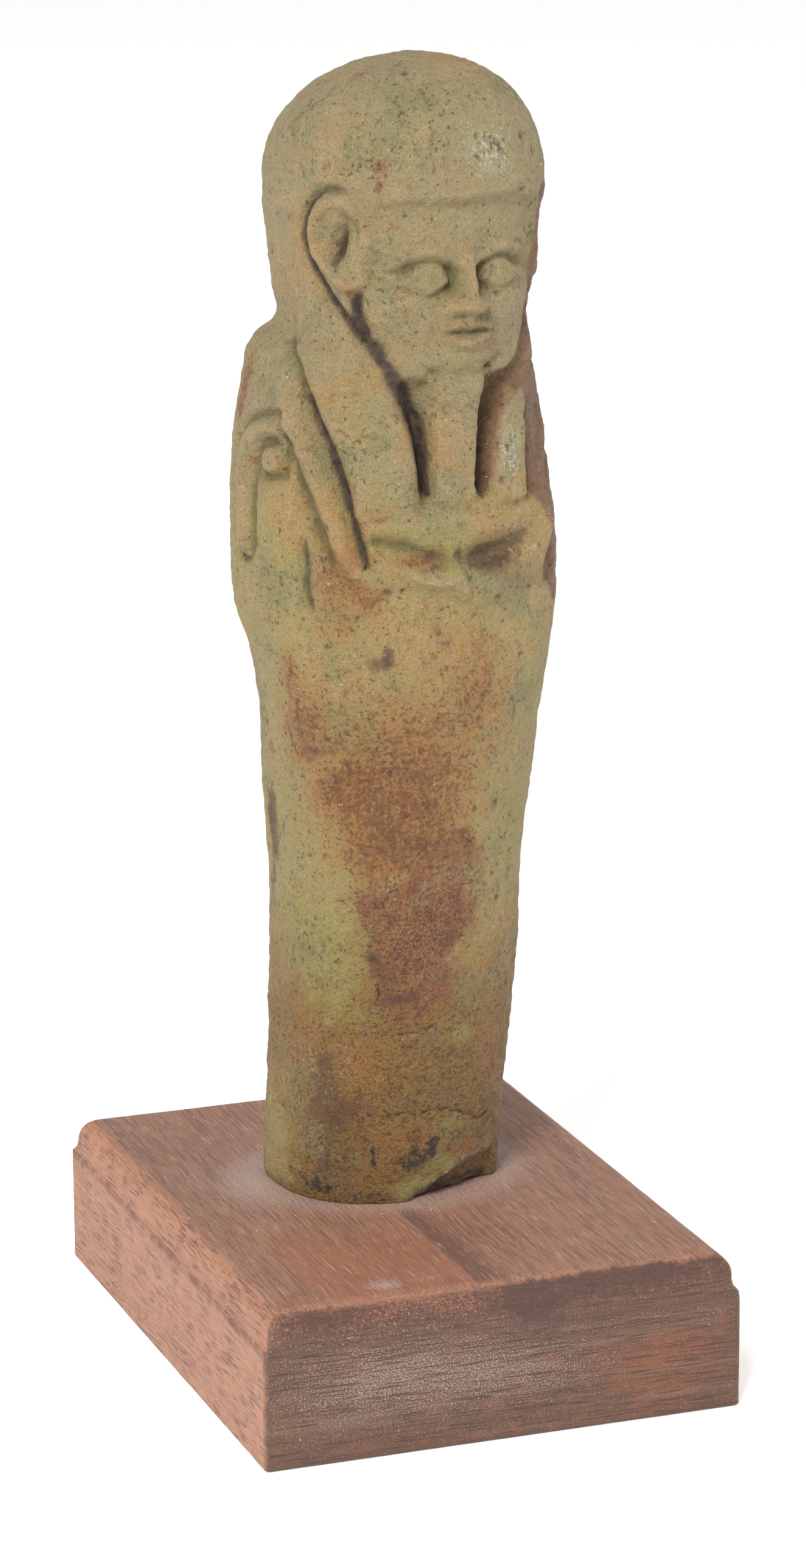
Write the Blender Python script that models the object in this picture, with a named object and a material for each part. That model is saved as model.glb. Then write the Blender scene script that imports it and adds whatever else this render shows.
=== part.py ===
"""Faience ushabti, broken off above the feet, standing on its wooden plinth.

Metres, +Z up. The origin is at the centre of the plinth's underside, +X is the figure's left and
the plinth's front face looks along -Y. The figure is turned a little towards +X on the plinth.
The carving is drawn on the figure's skin in parts of its own height: `girth` runs round the body
from the middle of the chest, positive to the figure's left, and `height` runs up from the break.
"""
import math

import bmesh
import bpy
import numpy as np
from mathutils import Matrix

# Driving dimensions of the plinth
PLINTH_WIDTH = 0.0500
PLINTH_DEPTH = 0.0654
PLINTH_SIDE_HEIGHT = 0.0121
LEDGE_WIDTH = 0.0005
LEDGE_RISE = 0.0012
ROUND_WIDTH = 0.0023
ROUND_RISE = 0.0027
CORNER_RADIUS = 0.0004
ARRIS_RADIUS = 0.0003
MOULDING_STEPS = 5

# Driving dimensions of the figure and its place on the plinth's top
FIGURE_HEIGHT = 0.1160
FIGURE_TURN = math.radians(10.0)
FIGURE_LEFT_OF_CENTRE = 0.0003
FIGURE_BEHIND_CENTRE = 0.0046
RESTING_GAP = 0.0003

# The carving's grid: parts to the figure's height, about a millimetre each at this size
HEIGHT_PARTS = 116.0
CROWN_START = 103.7
CROWN_ROUNDNESS = 2.1
CROWN_LEAN = 1.4
SIDE_LEAN = 1.5
FRONT_SQUARENESS = 2.25
BACK_SQUARENESS = 2.7

# Fineness of the skin before and after it is made simpler
SKIN_COLUMNS = 280
BODY_ROWS = 320
CROWN_ROWS = 44
FIGURE_FACETS = 9000
MERGE_DISTANCE = 0.000001

# Cross-sections of the body: height, half width, back depth, centre forward, front depth
SECTIONS = (
    (0.0, 11.9, 10.3, 0.4, 10.3),
    (6.0, 12.0, 10.4, 1.0, 10.4),
    (12.0, 12.1, 10.4, 1.6, 10.4),
    (19.0, 12.4, 10.5, 2.4, 10.5),
    (25.0, 12.6, 10.6, 2.9, 10.6),
    (32.0, 12.6, 10.8, 3.0, 10.8),
    (38.0, 13.1, 11.0, 3.1, 10.9),
    (45.0, 13.8, 11.2, 3.6, 11.0),
    (50.0, 14.2, 11.4, 4.0, 11.2),
    (55.0, 15.0, 11.6, 4.2, 11.4),
    (57.6, 15.6, 11.6, 3.9, 11.7),
    (60.1, 16.3, 11.6, 3.2, 11.9),
    (62.6, 16.7, 11.6, 2.7, 12.1),
    (67.6, 16.7, 11.5, 2.2, 12.3),
    (72.5, 16.4, 11.3, 1.5, 12.4),
    (77.5, 15.8, 11.2, 0.9, 12.4),
    (82.4, 15.0, 11.0, 0.8, 12.5),
    (85.0, 14.4, 11.1, 0.8, 13.4),
    (87.0, 14.0, 11.3, 1.1, 14.5),
    (88.2, 13.3, 11.4, 1.9, 13.9),
    (89.2, 12.4, 11.6, 3.2, 12.7),
    (93.3, 12.3, 12.1, 3.6, 12.5),
    (96.0, 12.6, 12.3, 3.7, 12.6),
    (100.6, 13.1, 12.5, 3.5, 12.8),
    (103.7, 13.3, 12.6, 3.7, 12.9),
)


def through(keys, values, at):
    """Read a smooth curve that passes through each value at its key."""
    slopes = np.gradient(values, keys)
    left = np.clip(np.searchsorted(keys, at) - 1, 0, len(keys) - 2)
    span = keys[left + 1] - keys[left]
    share = np.clip((at - keys[left]) / span, 0.0, 1.0)
    rise = share * share * (3.0 - 2.0 * share)
    leave = share * (1.0 - share) ** 2 * span * slopes[left]
    arrive = share * share * (share - 1.0) * span * slopes[left + 1]
    return values[left] * (1.0 - rise) + values[left + 1] * rise + leave + arrive


def drawn(points, closed=False, steps=6):
    """Sample a smooth line through points chosen on the skin."""
    points = np.array(points, float)
    if closed:
        points = np.vstack([points, points[:1]])
    keys = np.concatenate([[0.0], np.cumsum(np.hypot(*np.diff(points, axis=0).T))])
    at = np.linspace(0.0, keys[-1], steps * (len(points) - 1) + 1)
    line = np.stack([through(keys, points[:, k], at) for k in (0, 1)], axis=1)
    return line


def reach(skin, line):
    """Distance of every place on the skin from a line."""
    nearest = np.full(skin[0].shape, 1e6)
    for (u0, z0), (u1, z1) in zip(line[:-1], line[1:]):
        run, lift = u1 - u0, z1 - z0
        share = ((skin[0] - u0) * run + (skin[1] - z0) * lift) / max(run * run + lift * lift, 1e-9)
        share = np.clip(share, 0.0, 1.0)
        gap = np.hypot(skin[0] - u0 - share * run, skin[1] - z0 - share * lift)
        nearest = np.minimum(nearest, gap)
    return nearest


def within(skin, outline):
    """Say which places on the skin lie inside a closed outline."""
    result = np.zeros(skin[0].shape, bool)
    for (u0, z0), (u1, z1) in zip(outline[:-1], outline[1:]):
        spans = (z0 > skin[1]) != (z1 > skin[1])
        lift = z1 - z0 if abs(z1 - z0) > 1e-9 else 1e-9
        result ^= spans & (skin[0] < u0 + (skin[1] - z0) * (u1 - u0) / lift)
    return result


def ramp(value, start, end):
    """Rise smoothly from 0 at start to 1 at end."""
    share = np.clip((value - start) / (end - start), 0.0, 1.0)
    return share * share * (3.0 - 2.0 * share)


def plateau(skin, points, height, edge):
    """Raise the area inside an outline by a height, with a sloping edge."""
    outline = drawn(points, closed=True)
    gap = reach(skin, outline)
    return height * ramp(np.where(within(skin, outline), gap, -gap), -0.5 * edge, 0.5 * edge)


def ridge(skin, points, height, width):
    """Raise a rounded bead along a line, or press a groove where the height is negative."""
    return height * np.exp(-((reach(skin, drawn(points)) / width) ** 2))


def mound(skin, place, size, height, tilt=0.0):
    """Raise a soft oval swelling, or press a hollow where the height is negative."""
    across = skin[0] - place[0]
    up = skin[1] - place[1]
    turned = across * math.cos(tilt) + up * math.sin(tilt)
    raised = up * math.cos(tilt) - across * math.sin(tilt)
    return height * np.exp(-((turned / size[0]) ** 2) - (raised / size[1]) ** 2)


def mirrored(points):
    """Take points to the other side of the figure."""
    return [(-u, z) for u, z in points]


def face_relief(skin):
    """A calm, plain face on equal thirds: hairline to brow, brow to nose base, nose base to chin."""
    hairline, chin = 102.6, 86.6
    third = (hairline - chin) / 3.0
    brow, nose_base = hairline - third, chin + third
    eye, mouth = brow - 0.33 * third, nose_base - 0.34 * third
    eye_out, eye_half = 3.9, 1.9
    opening = [(-9.8, 102.9), (0.0, 102.9), (9.0, 102.2), (10.4, 99.5), (10.4, 95.0), (9.9, 91.2),
               (8.3, 88.4), (5.0, 86.4), (0.0, 85.8), (-5.4, 86.2), (-8.7, 88.2), (-10.2, 91.2),
               (-10.6, 95.0), (-10.6, 99.5)]
    relief = plateau(skin, opening, -0.65, 0.9)
    for side in (-1, 1):
        half = (side * skin[0], skin[1])
        relief += mound(half, (eye_out, eye), (2.7, 1.35), -0.85)
        relief += mound(half, (1.5, eye + 0.3), (0.9, 1.3), -0.5)
        relief += mound(half, (eye_out, eye - 0.1), (1.7, 0.85), 0.75)
        lid = [(eye_out - eye_half, eye - 0.25), (eye_out - 0.7, eye + 0.75),
               (eye_out + 0.6, eye + 0.75), (eye_out + eye_half + 0.5, eye - 0.1)]
        relief += ridge(half, lid, 0.28, 0.33)
        under = [(eye_out - eye_half, eye - 0.3), (eye_out, eye - 0.95), (eye_out + eye_half, eye - 0.35)]
        relief += ridge(half, under, 0.18, 0.33)
        arch = [(1.3, brow - 0.3), (eye_out - 0.4, brow + 0.55), (eye_out + 2.6, brow - 0.1)]
        relief += ridge(half, arch, 0.4, 0.75)
        relief += mound(half, (5.2, nose_base + 0.5), (2.7, 2.6), 0.5)
        relief += mound(half, (1.35, nose_base + 0.65), (0.75, 0.75), 0.75)
    bridge = [(0.0, brow + 0.2), (0.0, brow - 2.4)]
    relief += ridge(skin, bridge, 0.85, 1.0)
    slope = np.clip((brow - skin[1]) / (brow - nose_base - 0.7), 0.0, 1.0)
    nose = [(0.0, brow - 0.6), (0.0, nose_base + 0.75)]
    relief += ridge(skin, nose, 1.0, 1.05) * (0.3 + 1.35 * slope)
    relief += mound(skin, (0.0, mouth), (3.2, 1.9), 0.55)
    upper = [(-2.5, mouth + 0.1), (-0.8, mouth + 0.62), (0.0, mouth + 0.5), (0.8, mouth + 0.62),
             (2.5, mouth + 0.1)]
    relief += ridge(skin, upper, 0.35, 0.42)
    lower = [(-1.9, mouth - 0.45), (0.0, mouth - 0.75), (1.9, mouth - 0.45)]
    relief += ridge(skin, lower, 0.4, 0.45)
    parting = [(-2.7, mouth), (0.0, mouth - 0.05), (2.7, mouth)]
    relief += ridge(skin, parting, -0.4, 0.25)
    relief += mound(skin, (0.0, chin + 1.5), (2.1, 1.2), 0.7)
    return relief


def ear_relief(skin):
    """One ear, level with the wig that it cuts into, drawn on the side where girth is positive."""
    shape = [(10.7, 101.5), (12.0, 103.1), (14.4, 103.4), (16.4, 102.2), (17.2, 100.0), (16.8, 97.6),
             (15.4, 95.6), (13.4, 94.2), (11.6, 93.6), (10.8, 94.8), (10.7, 98.0)]
    rim = [(11.3, 101.6), (12.4, 102.6), (14.4, 102.7), (15.9, 101.5), (16.3, 99.6), (15.8, 97.6),
           (14.4, 96.0), (12.7, 94.9), (11.6, 94.5)]
    behind = [(12.6, 103.9), (14.8, 104.1), (16.9, 102.9), (18.1, 100.6), (18.0, 98.0), (16.7, 95.6),
              (14.6, 93.4), (12.2, 91.3)]
    relief = plateau(skin, shape, 0.3, 0.8)
    relief += ridge(skin, rim, 0.35, 0.6)
    relief += mound(skin, (13.3, 98.6), (0.8, 2.4), -1.3, tilt=0.3)
    relief += mound(skin, (11.7, 100.5), (0.5, 1.2), -0.7, tilt=0.1)
    relief += ridge(skin, behind, -0.7, 0.5)
    return relief


def wig_relief(skin):
    """The wig's two lappets, which run down out of its sides, and the grooves that edge them."""
    right_lappet = [(-14.5, 97.0), (-13.4, 94.0), (-10.9, 90.6), (-8.2, 87.6), (-6.2, 85.0),
                    (-4.6, 81.5), (-4.0, 77.5), (-3.9, 73.0), (-7.0, 72.3), (-10.2, 72.0),
                    (-11.0, 75.0), (-11.8, 77.8), (-13.0, 80.6), (-14.6, 83.6), (-17.4, 87.0),
                    (-20.0, 92.0), (-20.0, 97.0)]
    left_lappet = [(13.4, 97.0), (12.6, 93.6), (11.0, 90.4), (8.4, 87.4), (6.4, 84.6), (5.2, 81.0),
                   (4.5, 77.0), (4.0, 72.8), (6.4, 72.3), (8.4, 72.6), (8.8, 76.0), (9.2, 80.0),
                   (9.8, 84.0), (11.4, 88.0), (13.0, 92.0), (14.4, 97.0)]
    falling = ramp(skin[1], 96.0, 86.5)
    relief = plateau(skin, right_lappet, 0.95, 0.9) + plateau(skin, left_lappet, 0.95, 0.9)
    relief *= falling
    jaw_groove = [(11.3, 94.0), (10.9, 92.0), (10.4, 90.0), (8.4, 87.4), (6.0, 84.3), (4.5, 80.6),
                  (3.8, 77.2), (3.5, 74.0)]
    right_groove = [(-19.4, 88.4), (-17.0, 86.4), (-14.8, 83.4), (-13.2, 80.4), (-12.0, 77.6),
                    (-11.3, 75.0), (-10.6, 72.0), (-10.1, 69.4), (-9.4, 67.2)]
    left_groove = [(14.0, 91.6), (12.0, 88.0), (10.4, 84.0), (9.6, 80.0), (9.3, 76.0), (9.0, 72.8)]
    relief += ridge(skin, mirrored(jaw_groove), -1.1, 0.8)
    relief += ridge(skin, jaw_groove, -0.9, 0.8)
    relief += ridge(skin, right_groove, -0.95, 0.6)
    relief += ridge(skin, left_groove, -0.8, 0.6)
    return relief


def beard_relief(skin):
    """The false beard under the chin and the hollows on both sides of it."""
    hollow = [(-3.2, 86.0), (-6.4, 86.2), (-6.6, 84.6), (-4.9, 81.4), (-4.1, 77.5), (-3.7, 73.4),
              (-2.8, 73.6), (-2.6, 77.0), (-3.0, 81.5)]
    beard = [(-2.8, 85.6), (-3.2, 84.0), (-2.9, 80.0), (-3.0, 76.0), (-3.2, 73.3), (-0.4, 73.0),
             (2.5, 73.2), (2.5, 76.0), (2.6, 80.0), (3.0, 84.0), (2.6, 85.6)]
    across = skin[0]
    relief = plateau(skin, hollow, -1.0, 0.9) + plateau((-0.3 - across, skin[1]), hollow, -1.0, 0.9)
    relief += plateau(skin, beard, 1.35, 0.9)
    relief += mound(skin, (-0.1, 84.3), (3.2, 0.9), 0.3)
    return relief


def gear_relief(skin):
    """Tool handle, hoe and bag strap over one shoulder, drawn where girth is positive."""
    handle = [(19.0, 85.6), (17.0, 82.4), (15.4, 79.4), (14.1, 76.4), (13.1, 73.4), (12.2, 70.6),
              (11.3, 68.4), (10.5, 66.8)]
    handle_edge = [(18.0, 80.6), (16.9, 78.0), (15.9, 75.4), (15.0, 73.0), (14.0, 70.4), (12.7, 67.7)]
    sunk = [(17.2, 75.2), (17.4, 78.2), (18.9, 78.6), (20.7, 77.9), (21.7, 76.6), (21.9, 75.2)]
    knob = [(17.9, 76.0), (17.9, 77.9), (20.5, 77.7), (20.5, 75.9)]
    strap = [(17.8, 80.2), (19.4, 80.1), (21.6, 79.5), (23.4, 78.0), (24.2, 75.4), (24.5, 72.0),
             (24.5, 68.6)]
    strap_edge = [(17.8, 81.5), (19.6, 81.4), (22.2, 80.7), (24.8, 79.2), (26.2, 76.6), (26.5, 72.0),
                  (26.3, 68.6), (25.3, 66.8), (23.9, 66.8), (23.0, 68.2), (22.6, 71.6), (22.4, 74.4),
                  (22.1, 76.4), (20.9, 78.2), (19.0, 79.0), (17.4, 79.0)]
    relief = ridge(skin, handle, 0.7, 1.15)
    relief += ridge(skin, handle_edge, -0.5, 0.5)
    relief += plateau(skin, sunk, -0.45, 0.6) + plateau(skin, knob, 0.75, 0.6)
    relief += ridge(skin, strap, 0.4, 1.2)
    relief += ridge(skin, strap_edge, -0.45, 0.5)
    return relief


def arms_relief(skin):
    """Crossed forearms and worn fists under the lappets."""
    upper_arm = [(-9.0, 71.2), (-4.0, 71.1), (2.0, 70.6), (7.0, 70.6), (10.4, 71.2)]
    between = [(-8.6, 69.5), (-5.4, 68.7), (-2.6, 67.6), (0.2, 67.3)]
    lower_arm = [(-9.4, 66.9), (-6.0, 66.3), (-2.8, 65.5), (-0.4, 65.2)]
    left_elbow = [(3.4, 64.6), (7.0, 65.6), (9.8, 67.2), (11.2, 69.0)]
    relief = ridge(skin, upper_arm, 0.95, 1.9)
    relief += ridge(skin, between, -0.6, 0.65)
    relief += ridge(skin, lower_arm, 0.7, 1.6)
    relief += mound(skin, (-0.8, 65.8), (2.0, 1.8), 0.35)
    relief += mound(skin, (4.2, 67.4), (3.0, 0.95), -0.85, tilt=0.25)
    relief += ridge(skin, left_elbow, 0.75, 2.0)
    relief += ridge(skin, [(14.0, 76.6), (13.8, 72.0), (13.9, 67.6), (13.3, 63.4)], -0.45, 0.7)
    relief += ridge(skin, [(-15.6, 69.6), (-15.6, 67.4), (-15.4, 65.2)], -0.4, 0.5)
    relief += ridge(skin, [(-12.4, 62.4), (-6.0, 60.6), (0.0, 60.2), (6.0, 61.0), (12.0, 63.2)], -0.35, 2.6)
    return relief


def break_relief(skin):
    """The chip knocked out of the broken lower edge, at the figure's left."""
    chip = [(-1.8, -3.0), (-1.2, 0.2), (0.4, 1.1), (2.6, 2.4), (5.6, 2.9), (8.2, 2.6), (10.8, 2.9),
            (13.0, -3.0)]
    relief = plateau(skin, chip, -1.5, 0.7)
    relief += plateau(skin, [(-40.0, -0.8), (-17.0, 0.6), (-8.0, 0.4), (-1.0, -0.8)], -0.3, 0.8)
    return relief


def carving(skin):
    """Everything that stands out of or is cut into the plain body."""
    other_side = (-skin[0], skin[1])
    relief = face_relief(skin) + wig_relief(skin) + beard_relief(skin)
    relief += arms_relief(skin) + break_relief(skin)
    relief += ear_relief(skin) + ear_relief(other_side)
    relief += gear_relief(skin) + gear_relief(other_side)
    return relief


def section_outline(angles, width, back, front):
    """Distance of a section's edge from its centre, at each angle from straight ahead."""
    depth = np.where(np.cos(angles) > 0.0, front, back)
    power = np.where(np.cos(angles) > 0.0, FRONT_SQUARENESS, BACK_SQUARENESS)
    across = np.abs(np.sin(angles) / width) ** power
    along = np.abs(np.cos(angles) / depth) ** power
    return (across + along) ** (-1.0 / power)


def plain_body():
    """Lay out the uncarved body, row by row from the break to the crown."""
    keys = np.array([row[0] for row in SECTIONS])
    climb = np.linspace(0.0, 0.5 * math.pi, CROWN_ROWS + 1)[1:]
    crown = CROWN_START + (HEIGHT_PARTS - CROWN_START) * np.sin(climb) ** (2.0 / CROWN_ROUNDNESS)
    height = np.concatenate([np.linspace(0.0, CROWN_START, BODY_ROWS + 1), crown])[:, None]
    shrink = np.concatenate([np.ones(BODY_ROWS + 1), np.cos(climb) ** (2.0 / CROWN_ROUNDNESS)])[:, None]
    shrink[-1] = 0.0
    angles = np.linspace(-math.pi, math.pi, SKIN_COLUMNS + 1)[None, :]
    width, back, forward, front = (
        through(keys, np.array([row[k] for row in SECTIONS]), height) for k in (1, 2, 3, 4))
    edge = section_outline(angles, width, back, front)
    steps = np.hypot(np.diff(edge * np.sin(angles), axis=1), np.diff(edge * np.cos(angles), axis=1))
    girth = np.concatenate([np.zeros_like(height), np.cumsum(steps, axis=1)], axis=1)
    girth -= girth[:, SKIN_COLUMNS // 2][:, None]
    height = np.broadcast_to(height, girth.shape)
    forward = forward + CROWN_LEAN * ramp(height, CROWN_START, HEIGHT_PARTS) ** 2
    return angles, edge, shrink, forward, (girth, height)


def figure_skin():
    """Work out the place of every point of the carved skin."""
    angles, edge, shrink, forward, skin = plain_body()
    grown = (edge + carving(skin)) * shrink
    aside = SIDE_LEAN * skin[1] / HEIGHT_PARTS
    across = aside + grown * np.sin(angles)
    return np.stack([across, -forward - grown * np.cos(angles), skin[1]], axis=2)


def principled(name, colour, roughness):
    """A plain material in one colour."""
    material = bpy.data.materials.new(name)
    material.use_nodes = True
    shader = material.node_tree.nodes["Principled BSDF"]
    shader.inputs["Base Color"].default_value = (*colour, 1.0)
    shader.inputs["Roughness"].default_value = roughness
    shader.inputs["Metallic"].default_value = 0.0
    material.diffuse_color = (*colour, 1.0)
    return material


def add_solid(name, mesh_builder, material, collection):
    """Turn a bmesh into a named object with its material."""
    mesh = bpy.data.meshes.new(name)
    bmesh.ops.recalc_face_normals(mesh_builder, faces=mesh_builder.faces)
    mesh_builder.to_mesh(mesh)
    mesh_builder.free()
    mesh.materials.append(material)
    solid = bpy.data.objects.new(name, mesh)
    collection.objects.link(solid)
    return solid


def make_plinth(collection):
    """A wooden block whose top edge is worked as a narrow ledge and a rounding."""
    block = bmesh.new()
    size = (PLINTH_WIDTH, PLINTH_DEPTH, PLINTH_SIDE_HEIGHT)
    place = Matrix.Translation((0.0, 0.0, 0.5 * PLINTH_SIDE_HEIGHT)) @ Matrix.Diagonal((*size, 1.0))
    bmesh.ops.create_cube(block, size=1.0, matrix=place)
    corners = [edge for edge in block.edges if abs(edge.verts[0].co.z - edge.verts[1].co.z) > ARRIS_RADIUS]
    bmesh.ops.bevel(block, geom=corners, offset=CORNER_RADIUS, segments=3, profile=0.5, affect="EDGES")
    arris = [edge for edge in block.edges if max(vert.co.z for vert in edge.verts) < ARRIS_RADIUS]
    bmesh.ops.bevel(block, geom=arris, offset=ARRIS_RADIUS, segments=2, profile=0.5, affect="EDGES")
    profile = [(LEDGE_WIDTH, LEDGE_RISE)]
    for step in range(1, MOULDING_STEPS + 1):
        turn = 0.5 * math.pi * step / MOULDING_STEPS
        inset = LEDGE_WIDTH + ROUND_WIDTH * (1.0 - math.cos(turn))
        profile.append((inset, LEDGE_RISE + ROUND_RISE * math.sin(turn)))
    top = max(block.faces, key=lambda face: face.calc_center_median().z)
    reached = (0.0, 0.0)
    for inset, rise in profile:
        grown = bmesh.ops.extrude_discrete_faces(block, faces=[top])["faces"]
        top = grown[0]
        for vert in top.verts:
            vert.co.x -= math.copysign(inset - reached[0], vert.co.x)
            vert.co.y -= math.copysign(inset - reached[0], vert.co.y)
            vert.co.z += rise - reached[1]
        reached = (inset, rise)
    wood = principled("plinth wood", (0.235, 0.085, 0.045), 0.55)
    return add_solid("plinth", block, wood, collection)


def make_figure(collection):
    """The moulded figure: one rolled sheet, closed at the crown and across the break."""
    places = figure_skin()
    rows, columns = places.shape[0] - 1, places.shape[1] - 1
    sheet = bmesh.new()
    bmesh.ops.create_grid(sheet, x_segments=columns, y_segments=rows, size=1.0)
    for vert in sheet.verts:
        column = round((vert.co.x + 1.0) / 2.0 * columns)
        row = round((vert.co.y + 1.0) / 2.0 * rows)
        vert.co = places[row, column] * (FIGURE_HEIGHT / HEIGHT_PARTS)
    bmesh.ops.remove_doubles(sheet, verts=sheet.verts, dist=MERGE_DISTANCE)
    rim = [edge for edge in sheet.edges if edge.is_boundary]
    bmesh.ops.contextual_create(sheet, geom=rim)
    faience = principled("moulded faience", (0.48, 0.39, 0.23), 0.72)
    figure = add_solid("ushabti", sheet, faience, collection)
    plinth_top = PLINTH_SIDE_HEIGHT + LEDGE_RISE + ROUND_RISE
    figure.location = (FIGURE_LEFT_OF_CENTRE, FIGURE_BEHIND_CENTRE, plinth_top + RESTING_GAP)
    figure.rotation_euler = (0.0, 0.0, FIGURE_TURN)
    figure.data.shade_smooth()
    simpler = figure.modifiers.new("fewer facets", "DECIMATE")
    simpler.ratio = FIGURE_FACETS / (2.0 * len(figure.data.polygons))
    return figure


def main():
    for leftover in list(bpy.data.objects):
        bpy.data.objects.remove(leftover, do_unlink=True)
    collection = bpy.data.collections.new("faience ushabti")
    bpy.context.scene.collection.children.link(collection)
    make_plinth(collection)
    make_figure(collection)


main()
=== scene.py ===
import math

import bpy
import numpy as np
from mathutils import Matrix, Vector


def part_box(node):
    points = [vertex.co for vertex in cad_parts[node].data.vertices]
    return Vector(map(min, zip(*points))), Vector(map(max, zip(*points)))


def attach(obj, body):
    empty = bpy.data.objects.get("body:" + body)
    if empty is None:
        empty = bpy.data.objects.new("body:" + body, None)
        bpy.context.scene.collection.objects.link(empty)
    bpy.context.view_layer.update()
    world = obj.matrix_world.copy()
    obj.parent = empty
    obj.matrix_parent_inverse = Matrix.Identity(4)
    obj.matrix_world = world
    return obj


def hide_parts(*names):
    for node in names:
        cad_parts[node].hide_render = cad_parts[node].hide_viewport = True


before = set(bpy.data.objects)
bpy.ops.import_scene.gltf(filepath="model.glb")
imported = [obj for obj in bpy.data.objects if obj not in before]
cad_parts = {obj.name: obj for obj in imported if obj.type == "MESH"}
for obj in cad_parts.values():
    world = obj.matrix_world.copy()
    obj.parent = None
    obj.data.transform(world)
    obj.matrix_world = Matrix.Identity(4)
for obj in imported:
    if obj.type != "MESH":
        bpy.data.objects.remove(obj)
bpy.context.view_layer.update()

# A worn faience ushabti, broken off above the feet, on a plain wooden plinth. Metres, +Z up, in the
# frame of the imported solids. Carving, stains and painted shade are placed on the figure's skin in
# parts of its own height, about a millimetre each: `girth` runs round the body from the middle of the
# chest, positive to the figure's left, and `height` runs up from the break.

MILLIMETRE = 0.001
SEED = 7

# The photograph's view: the camera's place, its angles, and a lens on a 36 mm wide sensor
CAMERA_PLACE = (-0.16736, -0.46344, 0.18875)
CAMERA_AZIMUTH = math.radians(20.0)
CAMERA_DOWN = math.radians(14.8)
CAMERA_ROLL = math.radians(-0.236)
CAMERA_SENSOR = 36.0
CAMERA_LENS = 115.54

# The room: its own light, the floor's glow, what the lamps aim at, and each lamp's name, place,
# side length and power in watts
ROOM_LIGHT = 0.74
FLOOR_SIZE = 12.0
FLOOR_GLOW = 0.22
LAMPS_AIM = (0.0, 0.0, 0.07)
LAMPS = (
    ("main softbox", (-0.5, -0.66, 0.78), 0.3, 14.0),
    ("left softbox", (-0.9, 0.1, 0.3), 0.5, 0.8),
    ("right softbox", (0.85, -0.3, 0.4), 0.5, 3.0),
)

# Plinth sizes, as in the solids, then the fineness of its skin
PLINTH_LOW, PLINTH_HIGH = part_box("plinth")
PLINTH_WIDTH = PLINTH_HIGH.x - PLINTH_LOW.x
PLINTH_DEPTH = PLINTH_HIGH.y - PLINTH_LOW.y
PLINTH_TOP = PLINTH_HIGH.z
LEDGE_WIDTH = 0.0005
LEDGE_RISE = 0.0012
ROUND_WIDTH = 0.0023
ROUND_RISE = 0.0027
CORNER_RADIUS = 0.0004
ARRIS_RADIUS = 0.0003
SIDE_TOP = PLINTH_TOP - LEDGE_RISE - ROUND_RISE
PLINTH_CELLS = (112, 146)
SIDE_ROWS = 28
ROUND_ROWS = 9

# The knocked corner of the plinth, how near its edges the rubbed arris reaches, and how far under
# its top the end grain fades in
KNOCK_DEPTH = 0.00045
KNOCK_REACH = 0.0011
KNOCK_DIRECTION = (-0.7, 0.7, -0.2)
ARRIS_BAND = 0.0004
END_GRAIN_FADE = 0.0012

# Figure sizes and place, as in the solids
FIGURE_LOW, FIGURE_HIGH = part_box("ushabti")
FIGURE_HEIGHT = FIGURE_HIGH.z - FIGURE_LOW.z
FIGURE_TURN = math.radians(10.0)
FIGURE_PLACE = (0.0003, 0.0046, FIGURE_LOW.z)
HEIGHT_PARTS = 116.0
CROWN_START = 103.7
CROWN_ROUNDNESS = 2.1
CROWN_LEAN = 1.4
SIDE_LEAN = 1.5
FRONT_SQUARENESS = 2.25
BACK_SQUARENESS = 2.7

# How much of the carving is left on the figure's left side, how far all its edges are rubbed, and
# the small knocks it has had
LEFT_SIDE_LEFT = 0.5
EDGE_WEAR = 2
KNOCKS = 70

# How the break meets the plinth, in parts: it settles on the wood, but the chip stays clear of it
EDGE_SETTLES = 0.35
EDGE_BAND = 2.6
CHIP_CLEAR = 0.85
CHIP_START = (-1.0, 1.6)
CHIP_END = (9.0, 7.2)

# Fineness of the skin: columns round the body, and rows from one height to the next
SKIN_COLUMNS = 300
FRONT_CROWDING = 0.72
SKIN_ROWS = ((0.0, 3.0, 10), (3.0, 6.6, 7), (6.6, 10.2, 20), (10.2, 17.8, 13), (17.8, 19.4, 8),
             (19.4, 60.0, 62), (60.0, 103.7, 156))
CROWN_ROWS = 50

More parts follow.
